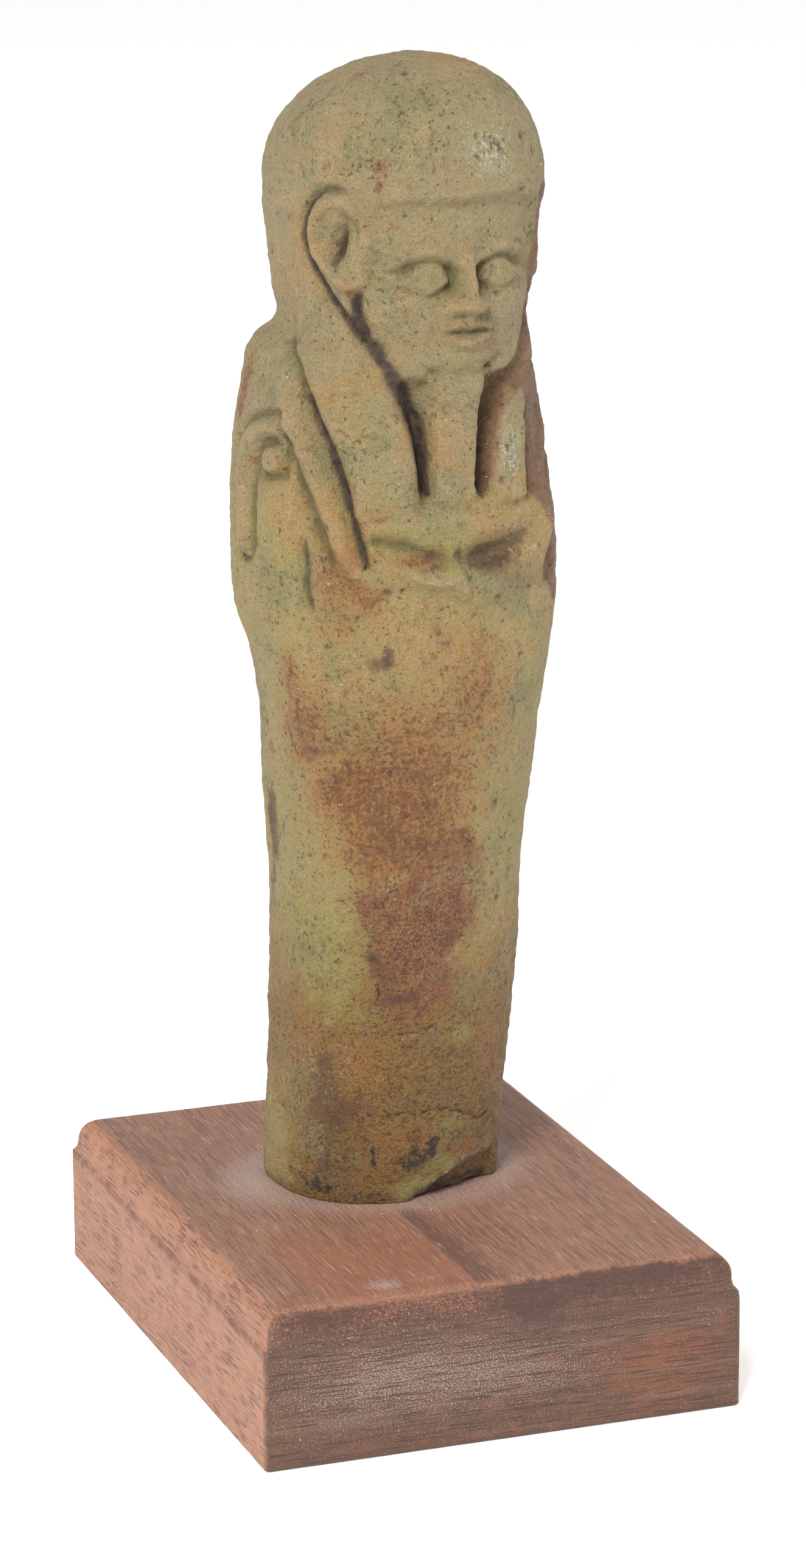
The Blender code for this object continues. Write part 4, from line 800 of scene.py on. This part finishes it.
def bare_mahogany():
    """Mahogany-like hardwood, planed and sanded, without varnish.

    To the eye it is matt and reddish brown, with short dark open pores along the grain, fine saw
    lines and pale dust on the end grain, and handling dirt on its top edges. Painted shade darkens the
    front moulding and the arrises.
    """
    material, tree, shader = new_material("bare mahogany, sanded")
    along = in_millimetres(tree, (1.0, 0.04, 1.0))
    across = in_millimetres(tree, (0.03, 1.0, 1.0))
    plain = in_millimetres(tree)
    # Pores are 0.15 to 0.2 mm wide and several millimetres long; the saw's lines are 0.13 mm apart
    noises, marks = read_in(tree, (
        ("figure", along, 3.2, 4.0, 0.55), ("fibre", along, 0.26, 3.0, 0.6), ("pore", along, 0.11, 1.0, 0.4),
        ("streak", along, 0.14, 1.0, 0.4), ("fleck", plain, 0.15, 2.0, 0.6), ("patch", plain, 5.0, 3.0, 0.6),
        ("saw", across, 0.13, 1.0, 0.5), ("saw_wide", across, 0.9, 3.0, 0.6), ("cloud", plain, 7.0, 4.0, 0.6),
        ("blotch", plain, 1.6, 6.0, 0.7), ("dusty", plain, 0.25, 3.0, 0.6), ("grit", plain, 0.4, 3.0, 0.6)),
        ("end_grain", "top", "moulding", "halo", "smudge", "dirt_and_shade", "scuff", "arris", "ruddy"))
    long_grain = add(tree, "ShaderNodeMath", {"operation": "SUBTRACT"}, {
        "Value": 1.0, "Value_001": marks["end_grain"]})

    def worked(value, low, high, most, where=1.0):
        """Turn a noise into a cover from 0 to most, on part of the wood."""
        cover = add(tree, "ShaderNodeMapRange", {"interpolation_type": "SMOOTHSTEP"},
                    {"Value": value, "From Min": low, "From Max": high, "To Min": 0.0, "To Max": most})
        return add(tree, "ShaderNodeMath", {"operation": "MULTIPLY"}, {"Value": cover, "Value_001": where})

    def broken(mark, noise, spread):
        """A painted place with its edge broken by a noise."""
        return shaken(tree, marks[mark], noises[noise], spread)

    less_on_top = add(tree, "ShaderNodeMath", {"operation": "MULTIPLY_ADD"}, {
        "Value": marks["top"], "Value_001": -0.6, "Value_002": 1.0})
    long_side = add(tree, "ShaderNodeMath", {"operation": "MULTIPLY"}, {
        "Value": long_grain, "Value_001": less_on_top})
    pores = worked(shaken(tree, noises["pore"], noises["patch"], 0.5), 0.6, 0.67, 0.9, long_side)
    # Colours from the ground up: shade and the cover that shows it
    layers = (
        ("#94664E", worked(noises["figure"], 0.35, 0.7, 0.7)),
        ("#7F5B48", worked(marks["top"], 0.0, 1.0, 0.85)),
        ("#5A3F32", worked(noises["fibre"], 0.5, 0.62, 0.6, marks["top"])),
        ("#4C2F21", worked(marks["end_grain"], 0.0, 1.0, 0.97)),
        # The front moulding painted darker: painted shade
        ("#603323", worked(marks["moulding"], 0.0, 1.0, 0.8)),
        ("#87563F", worked(broken("ruddy", "blotch", 1.2), 0.1, 1.0, 0.85, long_grain)),
        ("#693B22", worked(broken("ruddy", "blotch", 1.8), 0.1, 1.0, 0.85, marks["end_grain"])),
        ("#6F4C3D", worked(noises["fibre"], 0.45, 0.65, 0.5, long_grain)),
        ("#543930", worked(broken("smudge", "blotch", 1.4), 0.2, 1.0, 0.75)),
        ("#A78A78", worked(noises["streak"], 0.62, 0.72, 0.5, marks["top"])),
        ("#5E392B", pores),
        ("#7A4A32", worked(noises["blotch"], 0.5, 0.7, 0.5, marks["end_grain"])),
        ("#6E574B", worked(noises["saw_wide"], 0.48, 0.7, 0.35, marks["end_grain"])),
        ("#806654", worked(noises["fleck"], 0.54, 0.68, 0.5, marks["end_grain"])),
        ("#97887E", worked(broken("scuff", "fleck", 4.6), 0.5, 1.3, 0.8)),
        ("#A89A92", worked(broken("scuff", "dusty", 5.0), 1.1, 1.9, 0.5)),
        ("#38231B", worked(noises["saw"], 0.55, 0.66, 0.85, marks["end_grain"])),
        ("#94705C", worked(noises["fleck"], 0.53, 0.65, 0.7, marks["moulding"])),
        ("#38241C", worked(noises["grit"], 0.5, 0.62, 0.85, marks["moulding"])),
        # Dirt on the upper front, and painted shade over its moulding
        ("#3E261D", worked(broken("dirt_and_shade", "blotch", 2.6), 0.2, 1.1, 0.85)),
        ("#A08D83", worked(broken("halo", "dusty", 2.4), 0.15, 1.3, 0.75)),
        # Darker along the arrises: dirt and painted shade
        ("#4A332A", worked(broken("arris", "blotch", 2.0), 0.6, 1.2, 0.5)),
    )
    colour = layered(tree, noises["cloud"], ("#96674C", "#A27155"), layers)
    sawn = add(tree, "ShaderNodeMath", {"operation": "MULTIPLY"}, {
        "Value": noises["saw"], "Value_001": marks["end_grain"]})
    heights = (noises["fibre"], (pores, -1.0), (sawn, 1.5))
    surface(tree, shader, colour, (noises["blotch"], 0.5, 0.7), heights, 0.7, 0.1 * MILLIMETRE)
    return material


def lime_crumb():
    """Lime and salt crumbs stuck to the surface: dull, off-white, a little uneven in tone."""
    material, tree, shader = new_material("lime crumbs")
    noise = add(tree, "ShaderNodeTexNoise", {}, {"Vector": in_millimetres(tree), "Scale": 1.0 / 2.0})
    colour = layered(tree, noise, ("#BDB298", "#D6CDB6"), ())
    tree.links.new(colour, shader.inputs["Base Color"])
    shader.inputs["Roughness"].default_value = 0.85
    shader.inputs["IOR"].default_value = 1.5
    return material


def new_tree(name, inputs):
    """Start a Geometry Nodes tree with named inputs; return it, its input node and the identifiers."""
    tree = bpy.data.node_groups.new(name, "GeometryNodeTree")
    tree.is_modifier = True
    tree.interface.new_socket("Mesh", in_out="INPUT", socket_type="NodeSocketGeometry")
    tree.interface.new_socket("Mesh", in_out="OUTPUT", socket_type="NodeSocketGeometry")
    keys = {}
    for label, kind in inputs:
        socket = tree.interface.new_socket(label, in_out="INPUT", socket_type=kind)
        keys[label] = socket.identifier
    source = tree.nodes.new("NodeGroupInput")
    return tree, source, keys


def close_tree(tree, mesh, material):
    """End a tree in real geometry with its material."""
    real = add(tree, "GeometryNodeRealizeInstances", {}, {"Geometry": mesh})
    finished = add(tree, "GeometryNodeSetMaterial", {}, {"Geometry": real, "Material": material})
    sink = tree.nodes.new("NodeGroupOutput")
    tree.links.new(finished, sink.inputs[0])


def weathering_tree(material):
    """A tree that roughens a skin along its normals and sinks pits of several sizes into it."""
    labels = ["Swell size", "Swell height", "Grain size", "Grain height", "Pit spacing", "Pit width",
              "Pit depth"]
    tree, source, keys = new_tree("weathering", [(label, "NodeSocketFloat") for label in labels]
                                  + [("Seed", "NodeSocketInt")])
    value = {label: source.outputs[label] for label in labels}
    place = add(tree, "GeometryNodeInputPosition")
    along = add(tree, "GeometryNodeInputNormal")
    offset = 0.0
    for label in ("Swell", "Grain"):
        scale = add(tree, "ShaderNodeMath", {"operation": "DIVIDE"}, {
            "Value": 1.0, "Value_001": value[label + " size"]})
        noise = add(tree, "ShaderNodeTexNoise", {"noise_dimensions": "4D"}, {
            "Vector": place, "W": source.outputs["Seed"], "Scale": scale, "Detail": 3.0, "Roughness": 0.6})
        centred = add(tree, "ShaderNodeMath", {"operation": "SUBTRACT"}, {"Value": noise, "Value_001": 0.5})
        offset = add(tree, "ShaderNodeMath", {"operation": "MULTIPLY_ADD"}, {
            "Value": centred, "Value_001": value[label + " height"], "Value_002": offset})
    spacing = add(tree, "ShaderNodeMath", {"operation": "DIVIDE"}, {
        "Value": 1.0, "Value_001": value["Pit spacing"]})
    cells = {"Vector": place, "W": source.outputs["Seed"], "Scale": spacing}
    gap = add(tree, "ShaderNodeTexVoronoi", {"voronoi_dimensions": "4D"}, cells, output="Distance")
    luck = add(tree, "ShaderNodeTexVoronoi", {"voronoi_dimensions": "4D"}, cells, output="Color")
    chance = add(tree, "ShaderNodeSeparateXYZ", {}, {"Vector": luck})
    real_gap = add(tree, "ShaderNodeMath", {"operation": "MULTIPLY"}, {
        "Value": gap, "Value_001": value["Pit spacing"]})
    width = add(tree, "ShaderNodeMath", {"operation": "MULTIPLY"}, {
        "Value": chance, "Value_001": value["Pit width"]})
    near = add(tree, "ShaderNodeMath", {"operation": "DIVIDE"}, {"Value": real_gap, "Value_001": width})
    pit = add(tree, "ShaderNodeMapRange", {"interpolation_type": "SMOOTHSTEP"}, {
        "Value": near, "From Min": 0.3, "From Max": 1.0, "To Min": 1.0, "To Max": 0.0})
    depth = add(tree, "ShaderNodeMath", {"operation": "MULTIPLY"}, {
        "Value": pit, "Value_001": value["Pit depth"]})
    offset = add(tree, "ShaderNodeMath", {"operation": "SUBTRACT"}, {"Value": offset, "Value_001": depth})
    push = add(tree, "ShaderNodeVectorMath", {"operation": "SCALE"}, {"Vector": along, "Scale": offset})
    moved = add(tree, "GeometryNodeSetPosition", {}, {"Geometry": source.outputs[0], "Offset": push})
    marked = add(tree, "GeometryNodeStoreNamedAttribute", {"data_type": "FLOAT", "domain": "POINT"}, {
        "Geometry": moved, "Name": "pits", "Value": pit})
    close_tree(tree, marked, material)
    return tree, keys


def crumb_tree(material):
    """A tree that scatters small rough crumbs, half sunk, over a skin, and keeps only the crumbs."""
    tree, source, keys = new_tree("crumbs", [
        ("Crumbs per square metre", "NodeSocketFloat"), ("Largest radius", "NodeSocketFloat"),
        ("Seed", "NodeSocketInt")])
    points = add(tree, "GeometryNodeDistributePointsOnFaces", {}, {
        "Mesh": source.outputs[0], "Density": source.outputs["Crumbs per square metre"],
        "Seed": source.outputs["Seed"]}, output="Points")
    ball = add(tree, "GeometryNodeMeshIcoSphere", {}, {"Radius": 1.0, "Subdivisions": 1})
    smallest = add(tree, "ShaderNodeMath", {"operation": "MULTIPLY"}, {
        "Value": source.outputs["Largest radius"], "Value_001": 0.35})
    radius = add(tree, "FunctionNodeRandomValue", {"data_type": "FLOAT"}, {
        "Min_001": smallest, "Max_001": source.outputs["Largest radius"], "Seed": source.outputs["Seed"]},
        output=1)
    turn = add(tree, "FunctionNodeRandomValue", {"data_type": "FLOAT_VECTOR"}, {
        "Min": (0.0, 0.0, 0.0), "Max": (6.0, 6.0, 6.0), "Seed": source.outputs["Seed"]})
    crumbs = add(tree, "GeometryNodeInstanceOnPoints", {}, {
        "Points": points, "Instance": ball, "Rotation": turn, "Scale": radius})
    close_tree(tree, crumbs, material)
    return tree, keys


def grown(name, mesh, made_tree, settings):
    """Run a tree on a mesh and return the result as a plain object at the origin."""
    tree, keys = made_tree
    start = bpy.data.objects.new(name + "_start", mesh)
    bpy.context.scene.collection.objects.link(start)
    modifier = start.modifiers.new(tree.name, "NODES")
    modifier.node_group = tree
    for label, value in settings.items():
        modifier[keys[label]] = value
    evaluated = start.evaluated_get(bpy.context.evaluated_depsgraph_get())
    finished = bpy.data.meshes.new_from_object(evaluated)
    start.modifiers.remove(modifier)
    bpy.data.objects.remove(start)
    finished.name = name
    piece = bpy.data.objects.new(name, finished)
    bpy.context.scene.collection.objects.link(piece)
    return piece


def mesh_with_marks(name, places, faces, marks):
    """A mesh from its points and faces, the flat underside last, with painted marks on its points."""
    mesh = bpy.data.meshes.new(name)
    mesh.from_pydata(places, [], faces)
    for label, values in marks.items():
        layer = mesh.attributes.new(label, "FLOAT", "POINT")
        layer.data.foreach_set("value", np.asarray(values, np.float32))
    mesh.shade_smooth()
    underside = len(mesh.polygons) - 1
    mesh.polygons[underside].use_smooth = False
    return mesh


def figure_mesh():
    """The carved figure as one rolled skin, closed at the crown and across the break."""
    angles, edge, shrink, forward, skin = plain_body()
    relief = carving(skin)
    paint = paint_of(skin, relief)
    out = (edge + relief) * shrink
    aside = SIDE_LEAN * skin[1] / HEIGHT_PARTS
    clear = ramp(skin[0], *CHIP_START) * ramp(skin[0], *CHIP_END) * (0.8 + 0.2 * np.sin(2.3 * skin[0]))
    settled = skin[1] + (CHIP_CLEAR * clear - EDGE_SETTLES) * (1.0 - ramp(skin[1], 0.0, EDGE_BAND))
    part = FIGURE_HEIGHT / HEIGHT_PARTS
    local = np.stack([aside + out * np.sin(angles), -forward - out * np.cos(angles), settled], axis=2) * part
    turn = np.array(Matrix.Rotation(FIGURE_TURN, 3, "Z"))
    places = local @ turn.T + np.array(FIGURE_PLACE)
    rows = places.shape[0] - 1
    body = places[:-1, :SKIN_COLUMNS].reshape(-1, 3)
    pole = len(body)
    marks = {name: np.append(values[:-1, :SKIN_COLUMNS].ravel(), values[-1, 0])
             for name, values in paint.items()}
    faces = []
    for row in range(rows):
        for column in range(SKIN_COLUMNS):
            beside = (column + 1) % SKIN_COLUMNS
            low = row * SKIN_COLUMNS
            if row == rows - 1:
                faces.append((low + column, low + beside, pole))
            else:
                high = low + SKIN_COLUMNS
                faces.append((low + column, low + beside, high + beside, high + column))
    faces.append(tuple(range(SKIN_COLUMNS - 1, -1, -1)))
    return mesh_with_marks("figure_skin", np.vstack([body, places[-1:, 0]]), faces, marks)


def plinth_profile():
    """Inset and height of every ring of the plinth, from the top's edge down to the underside."""
    rings = []
    for step in range(ROUND_ROWS + 1):
        turn = 0.5 * math.pi * (1.0 - step / ROUND_ROWS)
        rings.append((LEDGE_WIDTH + ROUND_WIDTH * (1.0 - math.cos(turn)),
                      SIDE_TOP + LEDGE_RISE + ROUND_RISE * math.sin(turn)))
    rings.append((LEDGE_WIDTH * 0.8, SIDE_TOP + LEDGE_RISE * 0.5))
    rings.append((LEDGE_WIDTH * 0.3, SIDE_TOP + 0.2 * MILLIMETRE))
    for step in range(SIDE_ROWS):
        rings.append((0.0, SIDE_TOP - (SIDE_TOP - ARRIS_RADIUS) * step / (SIDE_ROWS - 1)))
    rings.append((0.3 * ARRIS_RADIUS, 0.3 * ARRIS_RADIUS))
    rings.append((ARRIS_RADIUS, 0.0))
    return rings


def rounded_ring(x, y, inset):
    """Bring the border of a rectangle in by an inset and round its corners."""
    half = np.array([0.5 * PLINTH_WIDTH, 0.5 * PLINTH_DEPTH]) - inset
    spot = np.stack([x * half[0], y * half[1]], axis=1)
    core = np.clip(spot, -(half - CORNER_RADIUS), half - CORNER_RADIUS)
    out = spot - core
    length = np.maximum(np.hypot(out[:, 0], out[:, 1]), 1e-12)
    at_corner = (np.abs(out) > 1e-12).all(axis=1)
    scale = np.where(at_corner, CORNER_RADIUS / length, 1.0)
    return core + out * scale[:, None]


def plinth_paint(places, facing):
    """Where the wood is dusty, smudged, dirty, scuffed or ruddy, and where shade is painted over the front
    moulding; drawn on it in millimetres.

    Facing is -1 on the front face and 1 on the back one.
    """
    x, y, z = places.T / MILLIMETRE
    top = ramp(z, PLINTH_TOP / MILLIMETRE - 0.5, PLINTH_TOP / MILLIMETRE)
    front = np.clip(-facing, 0.0, 1.0)
    on_top, on_front = (x, y), (x, z)
    foot = (x - 0.3, y - 4.6)
    gap = np.hypot(foot[0] / 12.6, foot[1] / 11.6)
    halo = (0.75 * ramp(gap, 1.5, 1.02) + mound(on_top, (-16.0, 3.0), (4.0, 10.0), 0.5)) * top
    smudge = ridge(on_top, [(-22.4, 30.0), (-21.4, 4.0), (-21.2, -18.0), (-19.6, -30.0)], 0.35, 1.9)
    border = [(-2.0, -9.0), (-1.6, -20.0), (-1.0, -31.0)]
    smudge += ridge(on_top, border, 0.95, [1.6, 2.4, 2.2]) * ramp(x, -3.0, -2.2)
    smudge += mound(on_top, (5.0, -22.0), (4.4, 6.0), 0.25, tilt=0.3)
    smudge += ridge(on_top, [(20.6, 30.0), (20.6, -10.0)], 0.4, 1.2)
    # The front moulding band is painted darker, as painted shade, and a quarter of it joins the dirt on the
    # upper front
    moulding = ramp(z, 13.2, 14.4) * front * (1.0 - top)
    dirt_and_shade = (mound(on_front, (-18.6, 14.6), (4.0, 1.6), 0.8) + mound(on_front, (2.6, 13.2), (3.8, 2.6), 0.85)
            + mound(on_front, (14.0, 15.4), (13.0, 2.4), 1.0) + mound(on_front, (-8.0, 13.2), (6.0, 0.8), 0.5)
            + mound(on_front, (8.0, 10.4), (7.0, 2.4), 0.4) + 0.25 * moulding) * (1.0 - top)
    scuff = (mound(on_front, (-13.0, 8.0), (14.0, 5.0), 0.75) + mound(on_front, (3.0, 6.6), (9.0, 4.0), 0.45)
             + mound(on_front, (16.0, 10.6), (8.0, 1.2), 0.25)) * front
    scuff += mound(on_top, (-11.0, -28.2), (2.0, 1.6), 1.2) * top
    scuff += mound(on_top, (-6.4, -28.0), (1.6, 0.6), 0.8) * top
    ruddy = (0.9 * ramp(x, -20.5, -16.0) * ramp(x, -2.2, -3.0) * ramp(y, -7.0, -19.0) * top
             + mound(on_front, (16.5, 5.4), (8.0, 4.6), 1.0) * front * (1.0 - top)
             + mound(on_front, (-5.0, 15.4), (4.4, 1.6), 0.9) * front * (1.0 - top))
    return {"halo": halo, "smudge": smudge * top, "dirt_and_shade": dirt_and_shade, "scuff": scuff, "ruddy": ruddy,
            "moulding": moulding, "top": top}


def plinth_mesh():
    """The plinth: a gridded top whose border goes down over the moulding and the sides."""
    across, deep = PLINTH_CELLS
    columns = np.linspace(-1.0, 1.0, across + 1)
    lines = np.linspace(-1.0, 1.0, deep + 1)
    rings = plinth_profile()
    inner_x, inner_y = (grid.ravel() for grid in np.meshgrid(columns, lines))
    on_top = rounded_ring(inner_x, inner_y, rings[0][0])
    places = [np.column_stack([on_top, np.full(len(on_top), PLINTH_TOP)])]
    wide = across + 1
    border = list(range(across)) + [r * wide + across for r in range(deep)]
    border += [deep * wide + c for c in range(across, 0, -1)] + [r * wide for r in range(deep, 0, -1)]
    faces = [(r * wide + c, r * wide + c + 1, (r + 1) * wide + c + 1, (r + 1) * wide + c)
             for r in range(deep) for c in range(across)]
    above, count = list(border), len(border)
    start = len(on_top)
    for inset, height in rings[1:]:
        ring = rounded_ring(inner_x[border], inner_y[border], inset)
        places.append(np.column_stack([ring, np.full(count, height)]))
        below = list(range(start, start + count))
        faces += [(above[k], below[k], below[(k + 1) % count], above[(k + 1) % count]) for k in range(count)]
        above = below
        start += count
    faces.append(tuple(reversed(above)))
    places = np.vstack(places)
    half_width, half_depth = 0.5 * PLINTH_WIDTH, 0.5 * PLINTH_DEPTH
    knocked = np.array([half_width, -half_depth, PLINTH_TOP - ROUND_RISE]) - places
    bite = KNOCK_DEPTH * np.exp(-(np.linalg.norm(knocked, axis=1) / KNOCK_REACH) ** 2)
    places += bite[:, None] * np.array(KNOCK_DIRECTION)
    from_side = half_width - np.abs(places[:, 0])
    from_end = half_depth - np.abs(places[:, 1])
    below_top = ramp(PLINTH_TOP - places[:, 2], 0.0, END_GRAIN_FADE)
    end_face = ramp((from_side - from_end) / MILLIMETRE, -0.4, 0.4) * below_top
    marks = plinth_paint(places, end_face * np.sign(places[:, 1]))
    marks["end_grain"] = end_face
    # Darker along the plinth's vertical corners, the crease under the moulding and the bottom edge: dirt and
    # painted shade
    near_corner = np.minimum(from_side, from_end) < ARRIS_BAND
    near_rise = (np.abs(places[:, 2] - SIDE_TOP) < 1.25 * ARRIS_BAND) | (places[:, 2] < 1.5 * ARRIS_BAND)
    at_corner = np.maximum(from_side, from_end) < 2.0 * ARRIS_BAND
    marks["arris"] = (near_corner & near_rise) | at_corner
    return mesh_with_marks("plinth_skin", places, faces, marks)


def dress():
    """Make the pieces, and let each ride on the body and stand for its solid."""
    weathering = {"Swell size": 2.9 * MILLIMETRE, "Swell height": 0.55 * MILLIMETRE,
                  "Grain size": 1.0 * MILLIMETRE, "Grain height": 0.42 * MILLIMETRE,
                  "Pit spacing": 1.8 * MILLIMETRE, "Pit width": 0.75 * MILLIMETRE,
                  "Pit depth": 0.3 * MILLIMETRE, "Seed": SEED}
    figure = grown("faience_figure", figure_mesh(), weathering_tree(worn_faience()), weathering)
    planing = {"Swell size": 9.0 * MILLIMETRE, "Swell height": 0.12 * MILLIMETRE,
               "Grain size": 1.4 * MILLIMETRE, "Grain height": 0.05 * MILLIMETRE,
               "Pit spacing": 6.0 * MILLIMETRE, "Pit width": 0.6 * MILLIMETRE,
               "Pit depth": 0.03 * MILLIMETRE, "Seed": SEED + 1}
    plinth = grown("wood_plinth", plinth_mesh(), weathering_tree(bare_mahogany()), planing)
    lime = lime_crumb()
    scatter = {"Crumbs per square metre": 9000.0, "Largest radius": 0.08 * MILLIMETRE, "Seed": SEED}
    figure_crumbs = grown("figure_crumbs", figure.data.copy(), crumb_tree(lime), scatter)
    plinth_crumbs = grown("plinth_crumbs", plinth.data.copy(), crumb_tree(lime), scatter)
    for piece, node in ((figure, "ushabti"), (plinth, "plinth")):
        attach(piece, "root")
        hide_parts(node)
    for piece in (figure_crumbs, plinth_crumbs):
        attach(piece, "root")


def studio():
    """A pale floor and soft light from the left, the right and above."""
    bpy.ops.mesh.primitive_grid_add(x_subdivisions=4, y_subdivisions=4, size=FLOOR_SIZE)
    floor = bpy.context.object
    floor.name = "floor"
    material, _, shader = new_material("pale paper floor")
    shader.inputs["Base Color"].default_value = linear("#F7F7F5")
    shader.inputs["Emission Color"].default_value = linear("#FFFFFF")
    shader.inputs["Emission Strength"].default_value = FLOOR_GLOW
    shader.inputs["Roughness"].default_value = 0.9
    floor.data.materials.append(material)
    world = bpy.data.worlds.new("soft room")
    world.use_nodes = True
    background = world.node_tree.nodes["Background"]
    background.inputs["Color"].default_value = linear("#FAFAFA")
    background.inputs["Strength"].default_value = ROOM_LIGHT
    bpy.context.scene.world = world
    for name, place, size, power in LAMPS:
        light = bpy.data.lights.new(name, "AREA")
        light.shape = "SQUARE"
        light.size = size
        light.energy = power
        lamp = bpy.data.objects.new(name, light)
        lamp.location = place
        lamp.rotation_mode = "QUATERNION"
        lamp.rotation_quaternion = (Vector(LAMPS_AIM) - Vector(place)).to_track_quat("-Z", "Y")
        bpy.context.scene.collection.objects.link(lamp)
    bpy.context.scene.view_settings.view_transform = "Standard"


def photograph_camera():
    """The camera that sees the object as the photograph does."""
    forward = Vector((math.sin(CAMERA_AZIMUTH) * math.cos(CAMERA_DOWN),
                      math.cos(CAMERA_AZIMUTH) * math.cos(CAMERA_DOWN), -math.sin(CAMERA_DOWN)))
    right = forward.cross(Vector((0.0, 0.0, 1.0))).normalized()
    up = right.cross(forward)
    rolled_right = right * math.cos(CAMERA_ROLL) + up * math.sin(CAMERA_ROLL)
    rolled_up = rolled_right.cross(forward)
    lens = bpy.data.cameras.new("photograph")
    lens.sensor_width = CAMERA_SENSOR
    lens.lens = CAMERA_LENS
    lens.clip_start = 0.01
    camera = bpy.data.objects.new("photograph", lens)
    turned = Matrix((rolled_right, rolled_up, -forward)).transposed().to_4x4()
    camera.matrix_world = Matrix.Translation(CAMERA_PLACE) @ turned
    bpy.context.scene.collection.objects.link(camera)
    bpy.context.scene.camera = camera


studio()
photograph_camera()
dress()
